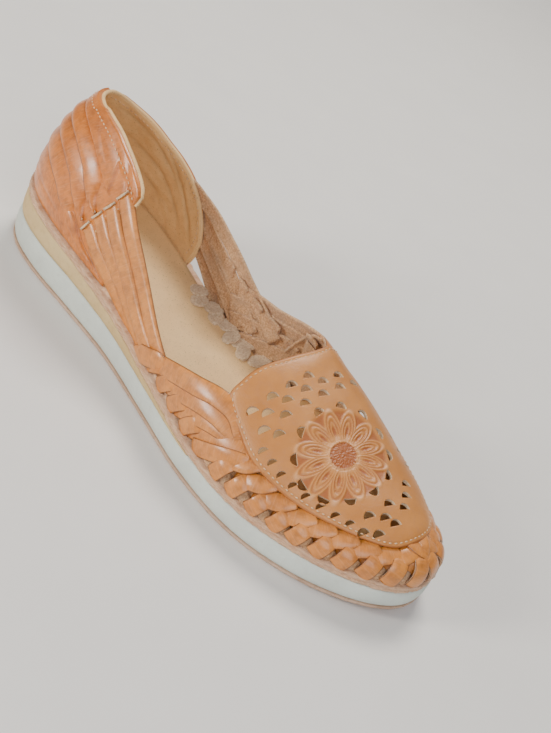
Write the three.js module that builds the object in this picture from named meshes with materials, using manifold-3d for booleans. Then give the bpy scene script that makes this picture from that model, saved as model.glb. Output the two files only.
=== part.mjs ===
// Woven leather huarache, right shoe, closed at toe and heel and cut low at both sides.
// Millimetres. +Y runs from heel to toe, +X to the wearer's outer side, +Z up. The ground is z = 0
// and the origin lies under the middle of the heel.
import * as THREE from "three";
import { ParametricGeometry } from "three/addons/geometries/ParametricGeometry.js";
import { mergeVertices } from "three/addons/utils/BufferGeometryUtils.js";
import Module from "manifold-3d";

const wasm = await Module();
wasm.setup();

// Driving dimensions. Along the shoe, y is counted from the back of the sole.
const SOLE_LENGTH = 272;
const HEEL_CENTRE = 38;
const GAP = 0.3;
const WALL = 2.2;
const INSET = 2.6;
const PANEL = 1.6;
const OUTSOLE = 1.8;
const BOARD = 4;
const SOCK = 2;
const SOCK_CLEAR = 1;
const WEDGE_HEEL = 12.5;
const WEDGE_END = 178;
const WEDGE_TIP = 172;
const HEEL_RISE = 1.6;
const HEEL_ROUND = 12;
const TOE_SPRING = 5;
const SPRING_START = 215;
const HEEL_BULGE = 3;
const CREST_BACK = 34;
const CREST_FRONT = 250;
const PANEL_LAP = 8;
const PANEL_STEPS = 48;

// Sections of the last, one for each step round the sole from the back of the heel (0) to the toe
// (180). lateral and medial are the sole's edge on the outer and inner side. crestX and crestZ are
// the ridge over the instep. wall and crown say how far each rib runs up from the edge and in
// level from the ridge before it turns, as a share of its height and width.
const COLUMNS = ["angle", "lateral", "medial", "crestX", "crestZ", "wallL", "wallM", "crownL", "crownM"];
const SECTIONS = [
  [0, 1.5, 1.5, -4, 96, 0.6, 0.6, 0.4, 0.4],
  [15, 17.2, -13.9, -4, 96, 0.6, 0.6, 0.4, 0.42],
  [30, 27.6, -25, -4, 96, 0.6, 0.62, 0.4, 0.46],
  [45, 31.9, -30.8, -4, 96, 0.6, 0.65, 0.4, 0.5],
  [60, 32.2, -29.9, -4.5, 93, 0.6, 0.65, 0.45, 0.55],
  [75, 33.2, -26.1, -6, 85, 0.6, 0.62, 0.5, 0.55],
  [90, 39, -28.1, -9, 72, 0.6, 0.6, 0.5, 0.55],
  [105, 45, -37.6, -13, 57.5, 0.62, 0.55, 0.48, 0.5],
  [120, 44.6, -42.9, -12, 49, 0.58, 0.5, 0.42, 0.5],
  [135, 35.6, -40.2, -9, 42, 0.55, 0.5, 0.42, 0.5],
  [150, 23, -32, -6, 37, 0.55, 0.52, 0.45, 0.5],
  [165, 9.6, -21.1, -4.5, 33.8, 0.6, 0.58, 0.45, 0.48],
  [180, -4.5, -4.5, -4, 32.8, 0.65, 0.65, 0.45, 0.45],
].map((row) => Object.fromEntries(row.map((value, i) => [COLUMNS[i], value])));

// Top of the leather board along the shoe.
const BOARD_TOP = [
  { y: 0, z: 31 },
  { y: 60, z: 27.4 },
  { y: 120, z: 20.3 },
  { y: 180, z: 16.1 },
  { y: 230, z: 16.6 },
  { y: 272, z: 19.4 },
];

// Side views of the upper's parts as rows of y, z. Each runs up past the wall where an edge is free.
const LATERAL_QUARTER = [
  [-12, 8], [-12, 83.4], [17, 83.4], [30, 84.2], [42, 83.4], [54, 80.8], [64, 77.4], [72, 73.6], [75.5, 70.4],
  [75, 65], [70, 56], [66, 47.5], [63, 41.5], [69, 35.5], [76, 31], [80.5, 28.4], [81.5, 25.6], [81.5, 8],
];
const MEDIAL_QUARTER = [
  [-12, 8], [-12, 83.4], [16, 83.4], [22, 79.6], [30, 74.4], [40, 69.6], [50, 67], [60, 63.4], [68, 58.2],
  [75, 51], [79.6, 43], [80.4, 35], [78.6, 26], [78.6, 8],
];
const LATERAL_VAMP = [
  [104, 8], [104, 20], [113, 28], [124, 34.8], [133, 31.6], [142, 32], [152, 36.2], [164, 42.6], [176, 49],
  [192, 72], [300, 72], [300, 8],
];
const MEDIAL_VAMP = [
  [98, 8], [98, 22], [110, 30], [120, 38.5], [130, 45.2], [138, 46], [146, 48.4], [157, 52.2], [168, 56.6],
  [176, 62], [190, 76], [300, 76], [300, 8],
];
const STRAP_WIDTH = 8.6;
// Middle lines of the straps, from inside the quarter down to the waist.
const LATERAL_STRAPS = [
  [[56, 45], [62, 41.6], [72, 36.4], [84, 31.4], [96, 26.8], [110, 21]],
  [[58, 54], [65, 49.4], [77, 42.4], [90, 35.4], [103, 29], [116, 23]],
  [[61, 62], [68, 57.4], [81, 48.6], [96, 38.8], [108, 31.4], [120, 26]],
  [[64, 71], [71, 66], [84, 56], [98, 46.4], [111, 37.8], [124, 30.4]],
];
const MEDIAL_STRAPS = [
  [[70, 41], [78, 37.4], [88, 33.6], [98, 28.4], [110, 22]],
  [[66, 47], [76, 44], [88, 40.4], [100, 36], [114, 29]],
  [[64, 54], [76, 51], [88, 48], [102, 43.6], [118, 35]],
  [[60, 60], [72, 58.6], [88, 57.2], [104, 52.6], [118, 45.6], [132, 41]],
];

// Edge of the vamp panel seen from above, as rows of x, y: from the outer throat corner round the
// toe to the inner corner, then back along the throat.
const PANEL_EDGE = [
  [34.8, 170.4], [37, 184], [37.6, 196], [34.8, 210], [30, 224], [24, 237], [17, 249], [8, 257.4],
  [-3, 260], [-14, 258.6], [-23, 253], [-29.4, 243], [-33.4, 229], [-35.6, 212], [-35, 197], [-32.8, 184],
  [-30.6, 174],
];
const THROAT_EDGE = [[-20, 172.2], [-7, 172.4], [8, 170.6], [20, 168.4], [28, 168.2]];

const LEATHER = { color: 0xd9995f, roughness: 0.5, metalness: 0 };

// Smooth curve through rows of numbers, with slopes taken from the neighbours.
function smooth(places, values, place) {
  let i = 0;
  while (i < places.length - 2 && place > places[i + 1]) i += 1;
  const slope = (k) => {
    const before = Math.max(k - 1, 0);
    const after = Math.min(k + 1, places.length - 1);
    return (values[after] - values[before]) / (places[after] - places[before]);
  };
  const width = places[i + 1] - places[i];
  const t = (place - places[i]) / width;
  const rise = t * t * (3 - 2 * t);
  const lean = width * (slope(i) * t * (1 - t) ** 2 - slope(i + 1) * t * t * (1 - t));
  return values[i] * (1 - rise) + values[i + 1] * rise + lean;
}

// A column of the sections as a loop right round the shoe, lateral side first.
function loop(lateral, medial) {
  const back = SECTIONS.slice(0, -1).reverse();
  const places = [-15, ...SECTIONS.map((row) => row.angle), ...back.map((row) => 360 - row.angle), 375];
  const values = [
    SECTIONS[1][medial],
    ...SECTIONS.map((row) => row[lateral]),
    ...back.map((row) => row[medial]),
    SECTIONS[1][lateral],
  ];
  return (angle) => smooth(places, values, ((angle % 360) + 360) % 360);
}

const edgeX = loop("lateral", "medial");
const crestX = loop("crestX", "crestX");
const crestZ = loop("crestZ", "crestZ");
const wallShare = loop("wallL", "wallM");
const crownShare = loop("crownL", "crownM");

const radians = THREE.MathUtils.degToRad;
const folded = (angle) => 180 - Math.abs(180 - (((angle % 360) + 360) % 360));
const along = (angle, from, to) => from + ((to - from) * (1 - Math.cos(radians(angle)))) / 2;

function edge(angle) {
  return new THREE.Vector2(edgeX(angle), along(angle, 0, SOLE_LENGTH));
}

// Level direction straight out from the sole's edge.
function outward(angle) {
  const run = edge(angle + 0.5).sub(edge(angle - 0.5));
  return new THREE.Vector2(run.y, -run.x).normalize();
}

function boardTop(y) {
  const places = BOARD_TOP.map((row) => row.y);
  const values = BOARD_TOP.map((row) => row.z);
  return smooth(places, values, THREE.MathUtils.clamp(y, 0, SOLE_LENGTH));
}

function crest(angle) {
  const turn = folded(angle);
  return new THREE.Vector3(crestX(turn), along(turn, CREST_BACK, CREST_FRONT), crestZ(turn));
}

// Direction of the crest towards the toe.
function crestRun(angle) {
  const turn = folded(angle);
  return crest(Math.min(turn + 3, 180)).sub(crest(Math.max(turn - 3, 0))).normalize();
}

// The last: a rib from the sole's edge (rise 0) to the crest (rise 1) at each angle.
function rib(angle, rise) {
  const out = outward(angle);
  const foot = edge(angle).addScaledVector(out, -(INSET + WALL));
  const low = new THREE.Vector3(foot.x, foot.y, boardTop(foot.y) + GAP);
  const top = crest(angle);
  const bulge = HEEL_BULGE * Math.max(0, Math.cos(radians(folded(angle))));
  const wallEnd = low.clone().setZ(low.z + wallShare(angle) * (top.z - low.z));
  wallEnd.x += out.x * bulge;
  wallEnd.y += out.y * bulge;
  const crownEnd = low.clone().setZ(top.z).lerp(top, 1 - crownShare(angle));
  const run = crestRun(angle);
  crownEnd.z += ((crownEnd.y - top.y) * run.z) / run.y;
  return new THREE.CubicBezierCurve3(low, wallEnd, crownEnd, top).getPoint(rise);
}

// Direction straight out of the last. On the crest it leans only along the shoe.
function normal(angle, rise) {
  if (rise > 0.999) {
    const run = crestRun(angle);
    return new THREE.Vector3(0, 0, 1).addScaledVector(run, -run.z).normalize();
  }
  const round = rib(angle + 0.5, rise).sub(rib(angle - 0.5, rise));
  const up = rib(angle, rise + 0.005).sub(rib(angle, Math.max(rise - 0.005, 0)));
  return round.cross(up).normalize();
}

function toSolid(geometry) {
  geometry.deleteAttribute("normal");
  geometry.deleteAttribute("uv");
  const merged = mergeVertices(geometry, 1e-4);
  const corners = merged.index.array;
  const kept = [];
  for (let i = 0; i < corners.length; i += 3) {
    const [a, b, c] = [corners[i], corners[i + 1], corners[i + 2]];
    if (a !== b && b !== c && c !== a) kept.push(a, b, c);
  }
  const vertProperties = merged.attributes.position.array;
  return new wasm.Manifold(new wasm.Mesh({ numProp: 3, vertProperties, triVerts: new Uint32Array(kept) }));
}

function toGeometry(solid) {
  const mesh = solid.getMesh();
  const geometry = new THREE.BufferGeometry();
  geometry.setAttribute("position", new THREE.BufferAttribute(mesh.vertProperties, 3));
  geometry.setIndex(new THREE.BufferAttribute(mesh.triVerts, 1));
  return geometry.toNonIndexed();
}

// The last grown outward by offset, closed below, with its foot drop lower than the board.
const AROUND = 60;
const RISES = 11;
function lastSolid(offset, drop) {
  const place = (u, v, target) => {
    const angle = 360 * u;
    const row = Math.round(v * (RISES + 1)) - 1;
    if (row >= 0) {
      const rise = row / RISES;
      target.copy(rib(angle, rise)).addScaledVector(normal(angle, rise), offset);
      if (row === 0) target.z -= drop;
      return;
    }
    const turn = folded(angle);
    const left = rib(turn, 0).addScaledVector(normal(turn, 0), offset);
    const right = rib(-turn, 0).addScaledVector(normal(-turn, 0), offset);
    target.copy(left).add(right).multiplyScalar(0.5);
    target.z -= drop;
  };
  return toSolid(new ParametricGeometry(place, AROUND, RISES + 1));
}

function flatShape(points) {
  return new THREE.Shape(points.map(([x, y]) => new THREE.Vector2(x, y)));
}

// A side view (y, z) swept across the shoe from x = from to x = to.
function acrossSolid(points, from, to) {
  const geometry = new THREE.ExtrudeGeometry(flatShape(points), { depth: to - from, bevelEnabled: false });
  geometry.rotateY(Math.PI / 2).rotateX(Math.PI / 2);
  geometry.translate(from, 0, 0);
  return toSolid(geometry);
}

// A top view (x, y) swept straight up.
function uprightSolid(points, from, to) {
  const geometry = new THREE.ExtrudeGeometry(flatShape(points), { depth: to - from, bevelEnabled: false });
  geometry.translate(0, 0, from);
  return toSolid(geometry);
}

function outlinePoints(inset) {
  const count = 96;
  return Array.from({ length: count }, (_, i) => {
    const angle = (360 * i) / count;
    const point = edge(angle).addScaledVector(outward(angle), -inset);
    return [point.x, point.y];
  });
}

// One layer of the sole between two heights that change along the shoe.
function layer(low, high, inset, end) {
  const STEP = 8;
  const stations = [];
  for (let y = -STEP; y < end; y += STEP) stations.push(y);
  stations.push(end);
  const side = [...stations.map((y) => [y, low(y)]), ...stations.reverse().map((y) => [y, high(y)])];
  const block = acrossSolid(side, -60, 60);
  return block.intersect(uprightSolid(outlinePoints(inset), -5, 60));
}

function ground(y) {
  const heel = HEEL_RISE * (Math.max(0, HEEL_ROUND - y) / HEEL_ROUND) ** 2;
  const toe = TOE_SPRING * (Math.max(0, y - SPRING_START) / (SOLE_LENGTH - SPRING_START)) ** 2;
  return Math.min(heel, HEEL_RISE) + toe;
}

const FRONT = SOLE_LENGTH + 8;
const boardLow = (y) => boardTop(y) - BOARD;
const wedgeSpace = (y) => WEDGE_HEEL * Math.max(0, 1 - Math.max(y, 0) / WEDGE_END);
const midsoleTop = (y) => boardLow(y) - GAP - wedgeSpace(y);
const sockLow = (y) => boardTop(y) + GAP;

const outsole = layer(ground, (y) => ground(y) + OUTSOLE, 0, FRONT);
const midsole = layer((y) => ground(y) + OUTSOLE + GAP, midsoleTop, 0, FRONT);
const wedge = layer((y) => midsoleTop(y) + GAP, (y) => boardLow(y) - GAP, 0, WEDGE_TIP);
const board = layer(boardLow, boardTop, 0, FRONT);
const insole = layer(sockLow, (y) => sockLow(y) + SOCK, INSET + WALL + SOCK_CLEAR, FRONT);

// A strap's side view: its middle line widened to both sides.
function strapShape(line) {
  const points = line.map(([y, z]) => new THREE.Vector2(y, z));
  const sides = points.map((point, i) => {
    const run = points[Math.min(i + 1, points.length - 1)].clone().sub(points[Math.max(i - 1, 0)]);
    const out = new THREE.Vector2(-run.y, run.x).setLength(STRAP_WIDTH / 2);
    return [point.clone().add(out), point.clone().sub(out)];
  });
  const upper = sides.map(([a]) => [a.x, a.y]);
  const lower = sides.map(([, b]) => [b.x, b.y]).reverse();
  return [...upper, ...lower];
}

function joined(solids) {
  return solids.reduce((sum, solid) => sum.add(solid));
}

// Points moved towards the middle of the panel, which lies near x = 0.
function insetEdge(points, distance) {
  const middle = new THREE.Vector2(-1, 212);
  return points.map(([x, y]) => {
    const point = new THREE.Vector2(x, y);
    const arm = point.clone().sub(middle);
    const kept = middle.clone().addScaledVector(arm, 1 - distance / arm.length());
    return [kept.x, kept.y];
  });
}

const HALF = 60;
const SPLIT = -4;
const lateralParts = [
  acrossSolid(LATERAL_QUARTER, SPLIT, HALF),
  acrossSolid(LATERAL_VAMP, SPLIT, HALF),
  ...LATERAL_STRAPS.map((line) => acrossSolid(strapShape(line), SPLIT, HALF)),
];
const medialParts = [
  acrossSolid(MEDIAL_QUARTER, -HALF, SPLIT),
  acrossSolid(MEDIAL_VAMP, -HALF, SPLIT),
  ...MEDIAL_STRAPS.map((line) => acrossSolid(strapShape(line), -HALF, SPLIT)),
];
const panelLine = new THREE.SplineCurve(PANEL_EDGE.map(([x, y]) => new THREE.Vector2(x, y)));
const panelSides = panelLine.getPoints(PANEL_STEPS).map((point) => [point.x, point.y]);
const vampOpening = uprightSolid([...insetEdge(panelSides, PANEL_LAP), [-16, 158], [26, 158]], 20, 110);
const wall = lastSolid(WALL, 0).subtract(lastSolid(0, 3));
const upper = wall.intersect(joined([...lateralParts, ...medialParts])).subtract(vampOpening);

const overWall = lastSolid(WALL + GAP + PANEL, 0).subtract(lastSolid(WALL + GAP, 3));
const vampPanel = overWall.intersect(uprightSolid([...panelSides, ...THROAT_EDGE], 20, 110));

const shoe = new THREE.Group();

function addPiece(name, solid, finish) {
  const mesh = new THREE.Mesh(toGeometry(solid), new THREE.MeshStandardMaterial(finish));
  mesh.name = name;
  shoe.add(mesh);
}

addPiece("outsole", outsole, { color: 0xc4ab98, roughness: 0.85, metalness: 0 });
addPiece("midsole", midsole, { color: 0xd2d6cb, roughness: 0.7, metalness: 0 });
addPiece("wedge", wedge, { color: 0xd3be98, roughness: 0.75, metalness: 0 });
addPiece("leather_board", board, { color: 0xd3b093, roughness: 0.85, metalness: 0 });
addPiece("insole", insole, { color: 0xe0c093, roughness: 0.6, metalness: 0 });
addPiece("upper", upper, LEATHER);
addPiece("vamp_panel", vampPanel, { color: 0xcb8f5f, roughness: 0.45, metalness: 0 });
shoe.position.y = -HEEL_CENTRE;

export default shoe;
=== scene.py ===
"""Woven leather huarache: the looks of one right shoe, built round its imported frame."""

import math
import random

import bmesh
import bpy
import numpy as np
from mathutils import Matrix, Vector, noise
from mathutils.bvhtree import BVHTree


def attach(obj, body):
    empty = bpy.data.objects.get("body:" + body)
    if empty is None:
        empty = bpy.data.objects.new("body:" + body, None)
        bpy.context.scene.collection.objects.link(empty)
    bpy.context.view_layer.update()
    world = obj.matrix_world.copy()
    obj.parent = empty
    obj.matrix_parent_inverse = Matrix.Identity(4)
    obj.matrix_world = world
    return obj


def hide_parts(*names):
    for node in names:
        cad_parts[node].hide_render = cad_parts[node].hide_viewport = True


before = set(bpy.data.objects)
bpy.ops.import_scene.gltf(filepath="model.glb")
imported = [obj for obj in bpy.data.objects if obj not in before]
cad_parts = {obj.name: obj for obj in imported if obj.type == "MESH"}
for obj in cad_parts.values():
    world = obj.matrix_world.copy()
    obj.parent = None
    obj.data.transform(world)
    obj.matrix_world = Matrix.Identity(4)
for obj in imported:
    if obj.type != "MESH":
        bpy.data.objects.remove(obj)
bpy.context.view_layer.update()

bl_info = {
    "name": "Woven Huarache",
    "version": (1, 0, 0),
    "blender": (4, 5, 0),
    "location": "View3D > Sidebar > Huarache",
    "description": "Builds a woven leather huarache on a wedge sole, piece by piece",
    "category": "Object",
}

# Shapes are worked out in millimetres, with y counted from the back of the sole.
MM = 0.001
HEEL_CENTRE = 38.0
SOLE_LENGTH = 272.0
GAP = 0.3
WALL = 2.2
INSET = 2.6
BOARD = 4.0
OUTSOLE = 1.8
WEDGE_HEEL = 12.5
WEDGE_END = 178.0
WEDGE_TIP = 172.0
HEEL_RISE = 1.6
HEEL_ROUND = 12.0
TOE_SPRING = 5.0
SPRING_START = 215.0
HEEL_BULGE = 3.0
CREST_BACK = 34.0
CREST_FRONT = 250.0
PANEL_TOP = 4.1

# Sections of the last from the back of the heel (0) to the toe (180): the sole's edge on the outer
# and inner side, the ridge over the instep, and how far each rib runs up and in before it turns.
COLUMNS = ("angle", "lateral", "medial", "crest_x", "crest_z", "wall_l", "wall_m", "crown_l", "crown_m")
SECTIONS = (
    (0, 1.5, 1.5, -4, 96, 0.6, 0.6, 0.4, 0.4),
    (15, 17.2, -13.9, -4, 96, 0.6, 0.6, 0.4, 0.42),
    (30, 27.6, -25, -4, 96, 0.6, 0.62, 0.4, 0.46),
    (45, 31.9, -30.8, -4, 96, 0.6, 0.65, 0.4, 0.5),
    (60, 32.2, -29.9, -4.5, 93, 0.6, 0.65, 0.45, 0.55),
    (75, 33.2, -26.1, -6, 85, 0.6, 0.62, 0.5, 0.55),
    (90, 39, -28.1, -9, 72, 0.6, 0.6, 0.5, 0.55),
    (105, 45, -37.6, -13, 57.5, 0.62, 0.55, 0.48, 0.5),
    (120, 44.6, -42.9, -12, 49, 0.58, 0.5, 0.42, 0.5),
    (135, 35.6, -40.2, -9, 42, 0.55, 0.5, 0.42, 0.5),
    (150, 23, -32, -6, 37, 0.55, 0.52, 0.45, 0.5),
    (165, 9.6, -21.1, -4.5, 33.8, 0.6, 0.58, 0.45, 0.48),
    (180, -4.5, -4.5, -4, 32.8, 0.65, 0.65, 0.45, 0.45),
)
SECTION = {name: np.array([row[i] for row in SECTIONS], float) for i, name in enumerate(COLUMNS)}

# Top of the leather board along the shoe: y, z.
BOARD_TOP = ((0, 31), (60, 27.4), (120, 20.3), (180, 16.1), (230, 16.6), (272, 19.4))

# Side views as rows of y, z. Toplines run forward from the back of the heel, and front edges
# run from the corner of the topline down to the sole.
LATERAL_TOP = ((2, 83.4), (17, 83.4), (30, 84.2), (42, 83.4), (54, 80.8), (64, 77.4), (72, 73.6),
               (75.5, 70.4))
LATERAL_FRONT = ((75.5, 70.4), (75, 65), (70, 56), (66, 47.5), (64.5, 41.5), (69, 35.5), (76, 31),
                 (80.5, 28.4), (81.5, 25.2))
MEDIAL_TOP = ((2, 83), (9, 80.6), (15, 78.4), (22, 76.6), (30, 73.8), (40, 69.6), (50, 67),
              (60, 63.4), (70, 56.4))
MEDIAL_FRONT = ((70, 56.4), (75, 51), (79.6, 43), (80.4, 35), (78.6, 25.6))

# Pleats of the quarter: the share of its height at which each one's lower edge lies, at these
# places along the shoe, and where the pleat above that edge ends.
PLEAT_PLACES = (0, 20, 40, 58)
PLEATS = (
    ((0.43, 0.40, 0.30, 0.22), 51.0),
    ((0.60, 0.58, 0.475, 0.36), 54.6),
    ((0.76, 0.72, 0.625, 0.52), 57.8),
    ((0.88, 0.85, 0.765, 0.67), 60.6),
)
# Lower band of the quarter: share of the height of its upper edge.
BAND_PLACES = (0, 20, 40, 50, 61, 70, 80)
BAND_EDGE = (0.43, 0.40, 0.30, 0.25, 0.13, 0.085, 0.03)

STRAP_WIDTH = 8.2
# Middle lines of the straps, from their slot in the quarter down to the waist, as y, z.
LATERAL_STRAPS = (
    ((57.5, 42.6), (62, 40.8), (72, 35.8), (84, 30.8), (96, 26.4), (108, 22.6), (119, 20)),
    ((60.6, 51), (65, 48.8), (77, 42.2), (90, 35.4), (103, 29), (116, 23.6), (126, 20.4)),
    ((64, 58.4), (68, 56.4), (81, 48.4), (96, 38.8), (108, 31.6), (120, 26), (131, 21.6)),
    ((66.6, 66), (71, 64.2), (84, 55.4), (98, 46), (111, 37.8), (124, 30.6), (137, 24.4)),
)
MEDIAL_STRAPS = (
    ((58, 37.6), (70, 39.6), (78, 37.4), (88, 33.6), (98, 28.4), (110, 21.5)),
    ((57, 45), (66, 46.4), (76, 44), (88, 40.4), (100, 36), (114, 29), (122, 24)),
    ((58, 52.4), (66, 53), (76, 51), (88, 48), (102, 43.6), (118, 35), (130, 27)),
    ((56, 60), (64, 60), (72, 58.8), (88, 57.4), (104, 53), (118, 46.4), (132, 39.5), (142, 33)),
)
# Strands that fan out from the corners of the panel to the waist, as y, z, from the waist up.
LATERAL_FAN = (
    ((160, 17.6), (168, 22.6), (177, 27.6), (188, 31.4), (194, 33)),
    ((149, 18.6), (157, 23.6), (166, 28.2), (176, 31.2), (186, 32.4)),
    ((137, 21.6), (146, 25.8), (155, 29.6), (165, 32.8), (175, 34), (186, 33.4)),
    ((126, 22.6), (135, 27.4), (145, 31.8), (157, 35.8), (168, 38.6), (178, 38.4), (187, 34.6)),
)
LATERAL_CROSS = (
    ((136.6, 28), (134, 26.4), (130.5, 24), (127.5, 21.6)),
    ((149, 30.6), (145, 27), (141, 22.6), (138.6, 19.4)),
    ((160, 30.6), (156, 26.6), (152, 22), (149.6, 18.4)),
    ((171, 29), (167.4, 25), (164, 21), (162, 17.6)),
    ((200, 30.6), (190, 27), (180, 22), (172, 17.4)),
)
MEDIAL_FAN = (
    ((126, 20.6), (138, 25), (150, 28.6), (164, 33), (180, 38)),
    ((116, 25.6), (130, 30.4), (142, 33.4), (156, 37), (176, 43)),
    ((112, 33), (124, 36.6), (138, 39), (150, 41.6), (162, 44), (176, 50)),
    ((114, 41.6), (126, 43), (138, 44), (150, 47.4), (162, 51.6), (174, 56.6)),
)
MEDIAL_CROSS = (
    ((104, 50), (103, 40), (101, 31), (99.6, 24)),
    ((116, 47), (114, 38), (112, 30), (110, 22.6)),
    ((127, 44.6), (125, 36), (122, 28), (120, 21)),
    ((139, 43), (137, 34), (133.6, 26), (131, 19.6)),
    ((151, 40), (148.6, 32), (145, 24), (142, 18.4)),
)
# The braid round the toe: distance between knuckles along the edge, and how far it runs back.
BRAID_PITCH = 10.3
LATERAL_BRAID_END = 184.0
MEDIAL_BRAID_END = 152.0

# Edge of the vamp panel seen from above, as x, y, round the toe and back along the throat.
PANEL_EDGE = (
    (34.8, 170.4), (37.6, 184), (39, 196), (37.2, 210), (32.4, 224), (25.4, 237), (17, 249), (8, 257.4),
    (-3, 260), (-14, 258.6), (-23, 253), (-29.4, 243), (-33.4, 229), (-35.6, 212), (-35, 197),
    (-32.8, 184), (-30.6, 174), (-20, 172.2), (-7, 172.4), (8, 170.6), (20, 168.4), (28, 168.2),
)
FLOWER = (5.7, 215.4)
FLOWER_HALF = (23.6, 19.6)
FLOWER_PHASE = 5.0
PETALS = 12
# Rows of half-moon holes across the panel: y, first x, last x, how many.
HOLE_ROWS = (
    (180.8, 31, 3.4, 4), (185.2, 26.6, -11.6, 5), (190, 31, -19, 6), (195, 27.2, 27.2, 1),
    (236.8, -15.4, -15.4, 1), (241.4, 11.8, -10.6, 3),
    (245.4, 17.2, -5.6, 3), (249.4, 12, 3, 2),
)
HOLE_CHORD = 5.8
HOLE_BULGE = 3.3


def smooth(places, values, place):
    """Smooth curve through rows of numbers, with slopes taken from the neighbours."""
    places = np.asarray(places, float)
    values = np.asarray(values, float)
    place = np.asarray(place, float)
    last = len(places) - 1
    i = np.clip(np.searchsorted(places, place) - 1, 0, last - 1)
    before = np.maximum(np.arange(last + 1) - 1, 0)
    after = np.minimum(np.arange(last + 1) + 1, last)
    slope = (values[after] - values[before]) / (places[after] - places[before])
    width = places[i + 1] - places[i]
    t = (place - places[i]) / width
    rise = t * t * (3 - 2 * t)
    lean = width * (slope[i] * t * (1 - t) ** 2 - slope[i + 1] * t * t * (1 - t))
    return values[i] * (1 - rise) + values[i + 1] * rise + lean


def loop(lateral, medial):
    """A column of the sections as a loop right round the shoe, lateral side first."""
    angle = SECTION["angle"]
    out, back = SECTION[lateral], SECTION[medial][:-1][::-1]
    places = np.concatenate([[-15], angle, 360 - angle[:-1][::-1], [375]])
    values = np.concatenate([[SECTION[medial][1]], out, back, [out[1]]])
    return lambda turn: smooth(places, values, np.mod(turn, 360))


edge_x = loop("lateral", "medial")
ridge_x = loop("crest_x", "crest_x")
ridge_z = loop("crest_z", "crest_z")
wall_share = loop("wall_l", "wall_m")
crown_share = loop("crown_l", "crown_m")


def folded(angle):
    return 180 - np.abs(180 - np.mod(angle, 360))


def along(angle, start, end):
    return start + (end - start) * (1 - np.cos(np.radians(angle))) / 2


def edge(angle):
    """The sole's edge seen from above."""
    return np.stack([edge_x(angle), along(angle, 0, SOLE_LENGTH)], -1)


def unit(rows):
    return rows / np.maximum(np.linalg.norm(rows, axis=-1, keepdims=True), 1e-9)


def outward(angle):
    run = edge(angle + 0.5) - edge(angle - 0.5)
    return unit(np.stack([run[..., 1], -run[..., 0]], -1))


def board_top(y):
    places, values = zip(*BOARD_TOP)
    return smooth(places, values, np.clip(y, 0, SOLE_LENGTH))


def ground(y):
    heel = HEEL_RISE * (np.maximum(0, HEEL_ROUND - y) / HEEL_ROUND) ** 2
    toe = TOE_SPRING * (np.maximum(0, y - SPRING_START) / (SOLE_LENGTH - SPRING_START)) ** 2
    return np.minimum(heel, HEEL_RISE) + toe


def crest(angle):
    turn = folded(angle)
    return np.stack([ridge_x(turn), along(turn, CREST_BACK, CREST_FRONT), ridge_z(turn)], -1)


def crest_run(angle):
    turn = folded(angle)
    return unit(crest(np.minimum(turn + 3, 180)) - crest(np.maximum(turn - 3, 0)))


def rib(angle, rise):
    """The last: from the sole's edge (rise 0) to the crest (rise 1) at each angle."""
    angle, rise = np.broadcast_arrays(np.asarray(angle, float), np.asarray(rise, float))
    out = outward(angle)
    foot = edge(angle) - out * (INSET + WALL)
    low = np.concatenate([foot, board_top(foot[..., 1])[..., None] + GAP], -1)
    top = crest(angle)
    bulge = HEEL_BULGE * np.maximum(0, np.cos(np.radians(folded(angle))))
    wall_end = low.copy()
    wall_end[..., 2] += wall_share(angle) * (top[..., 2] - low[..., 2])
    wall_end[..., :2] += out * bulge[..., None]
    level = low.copy()
    level[..., 2] = top[..., 2]
    crown_end = level + (top - level) * (1 - crown_share(angle))[..., None]
    run = crest_run(angle)
    crown_end[..., 2] += (crown_end[..., 1] - top[..., 1]) * run[..., 2] / run[..., 1]
    t = rise[..., None]
    s = 1 - t
    return s**3 * low + 3 * s * s * t * wall_end + 3 * s * t * t * crown_end + t**3 * top


def normal(angle, rise):
    """Straight out of the last. On the crest it leans only along the shoe."""
    angle, rise = np.broadcast_arrays(np.asarray(angle, float), np.asarray(rise, float))
    around = rib(angle + 0.5, rise) - rib(angle - 0.5, rise)
    up = rib(angle, rise + 0.005) - rib(angle, np.maximum(rise - 0.005, 0))
    out = unit(np.cross(around, up))
    run = crest_run(angle)
    ridge = unit(np.array([0, 0, 1.0]) - run * run[..., 2:3])
    return np.where((rise > 0.995)[..., None], ridge, out)


def wall(angle, rise, lift):
    """Points on the last, grown outward by lift."""
    return rib(angle, rise) + normal(angle, rise) * np.asarray(lift, float)[..., None]


def on_side(side, rows):
    """Angles and rises of points given in side view (y, z). side is 1 lateral, -1 medial."""
    wanted = np.asarray(rows, float)
    angle = side * np.degrees(np.arccos(np.clip(1 - 2 * wanted[:, 0] / SOLE_LENGTH, -0.999, 0.98)))
    rise = np.full(len(wanted), 0.3)
    lift = np.full(len(wanted), WALL)
    for _ in range(30):
        miss = wanted - wall(angle, rise, lift)[:, 1:]
        if np.abs(miss).max() < 0.02:
            break
        turn = (rib(angle + 0.3, rise) - rib(angle - 0.3, rise))[:, 1:] / 0.6
        up = (rib(angle, rise + 0.01) - rib(angle, rise - 0.01))[:, 1:] / 0.02
        span = turn[:, 0] * up[:, 1] - turn[:, 1] * up[:, 0]
        span = np.where(np.abs(span) < 1e-3, 1e-3, span)
        angle = angle + np.clip((miss[:, 0] * up[:, 1] - miss[:, 1] * up[:, 0]) / span, -4, 4)
        rise = rise + np.clip((turn[:, 0] * miss[:, 1] - turn[:, 1] * miss[:, 0]) / span, -0.06, 0.06)
        rise = np.clip(rise, 0.0, 0.98)
    return angle, rise


def placed(points):
    """Millimetres from the back of the sole to metres in the shoe's frame."""
    return (np.asarray(points, float) - [0, HEEL_CENTRE, 0]) * MM


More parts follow.
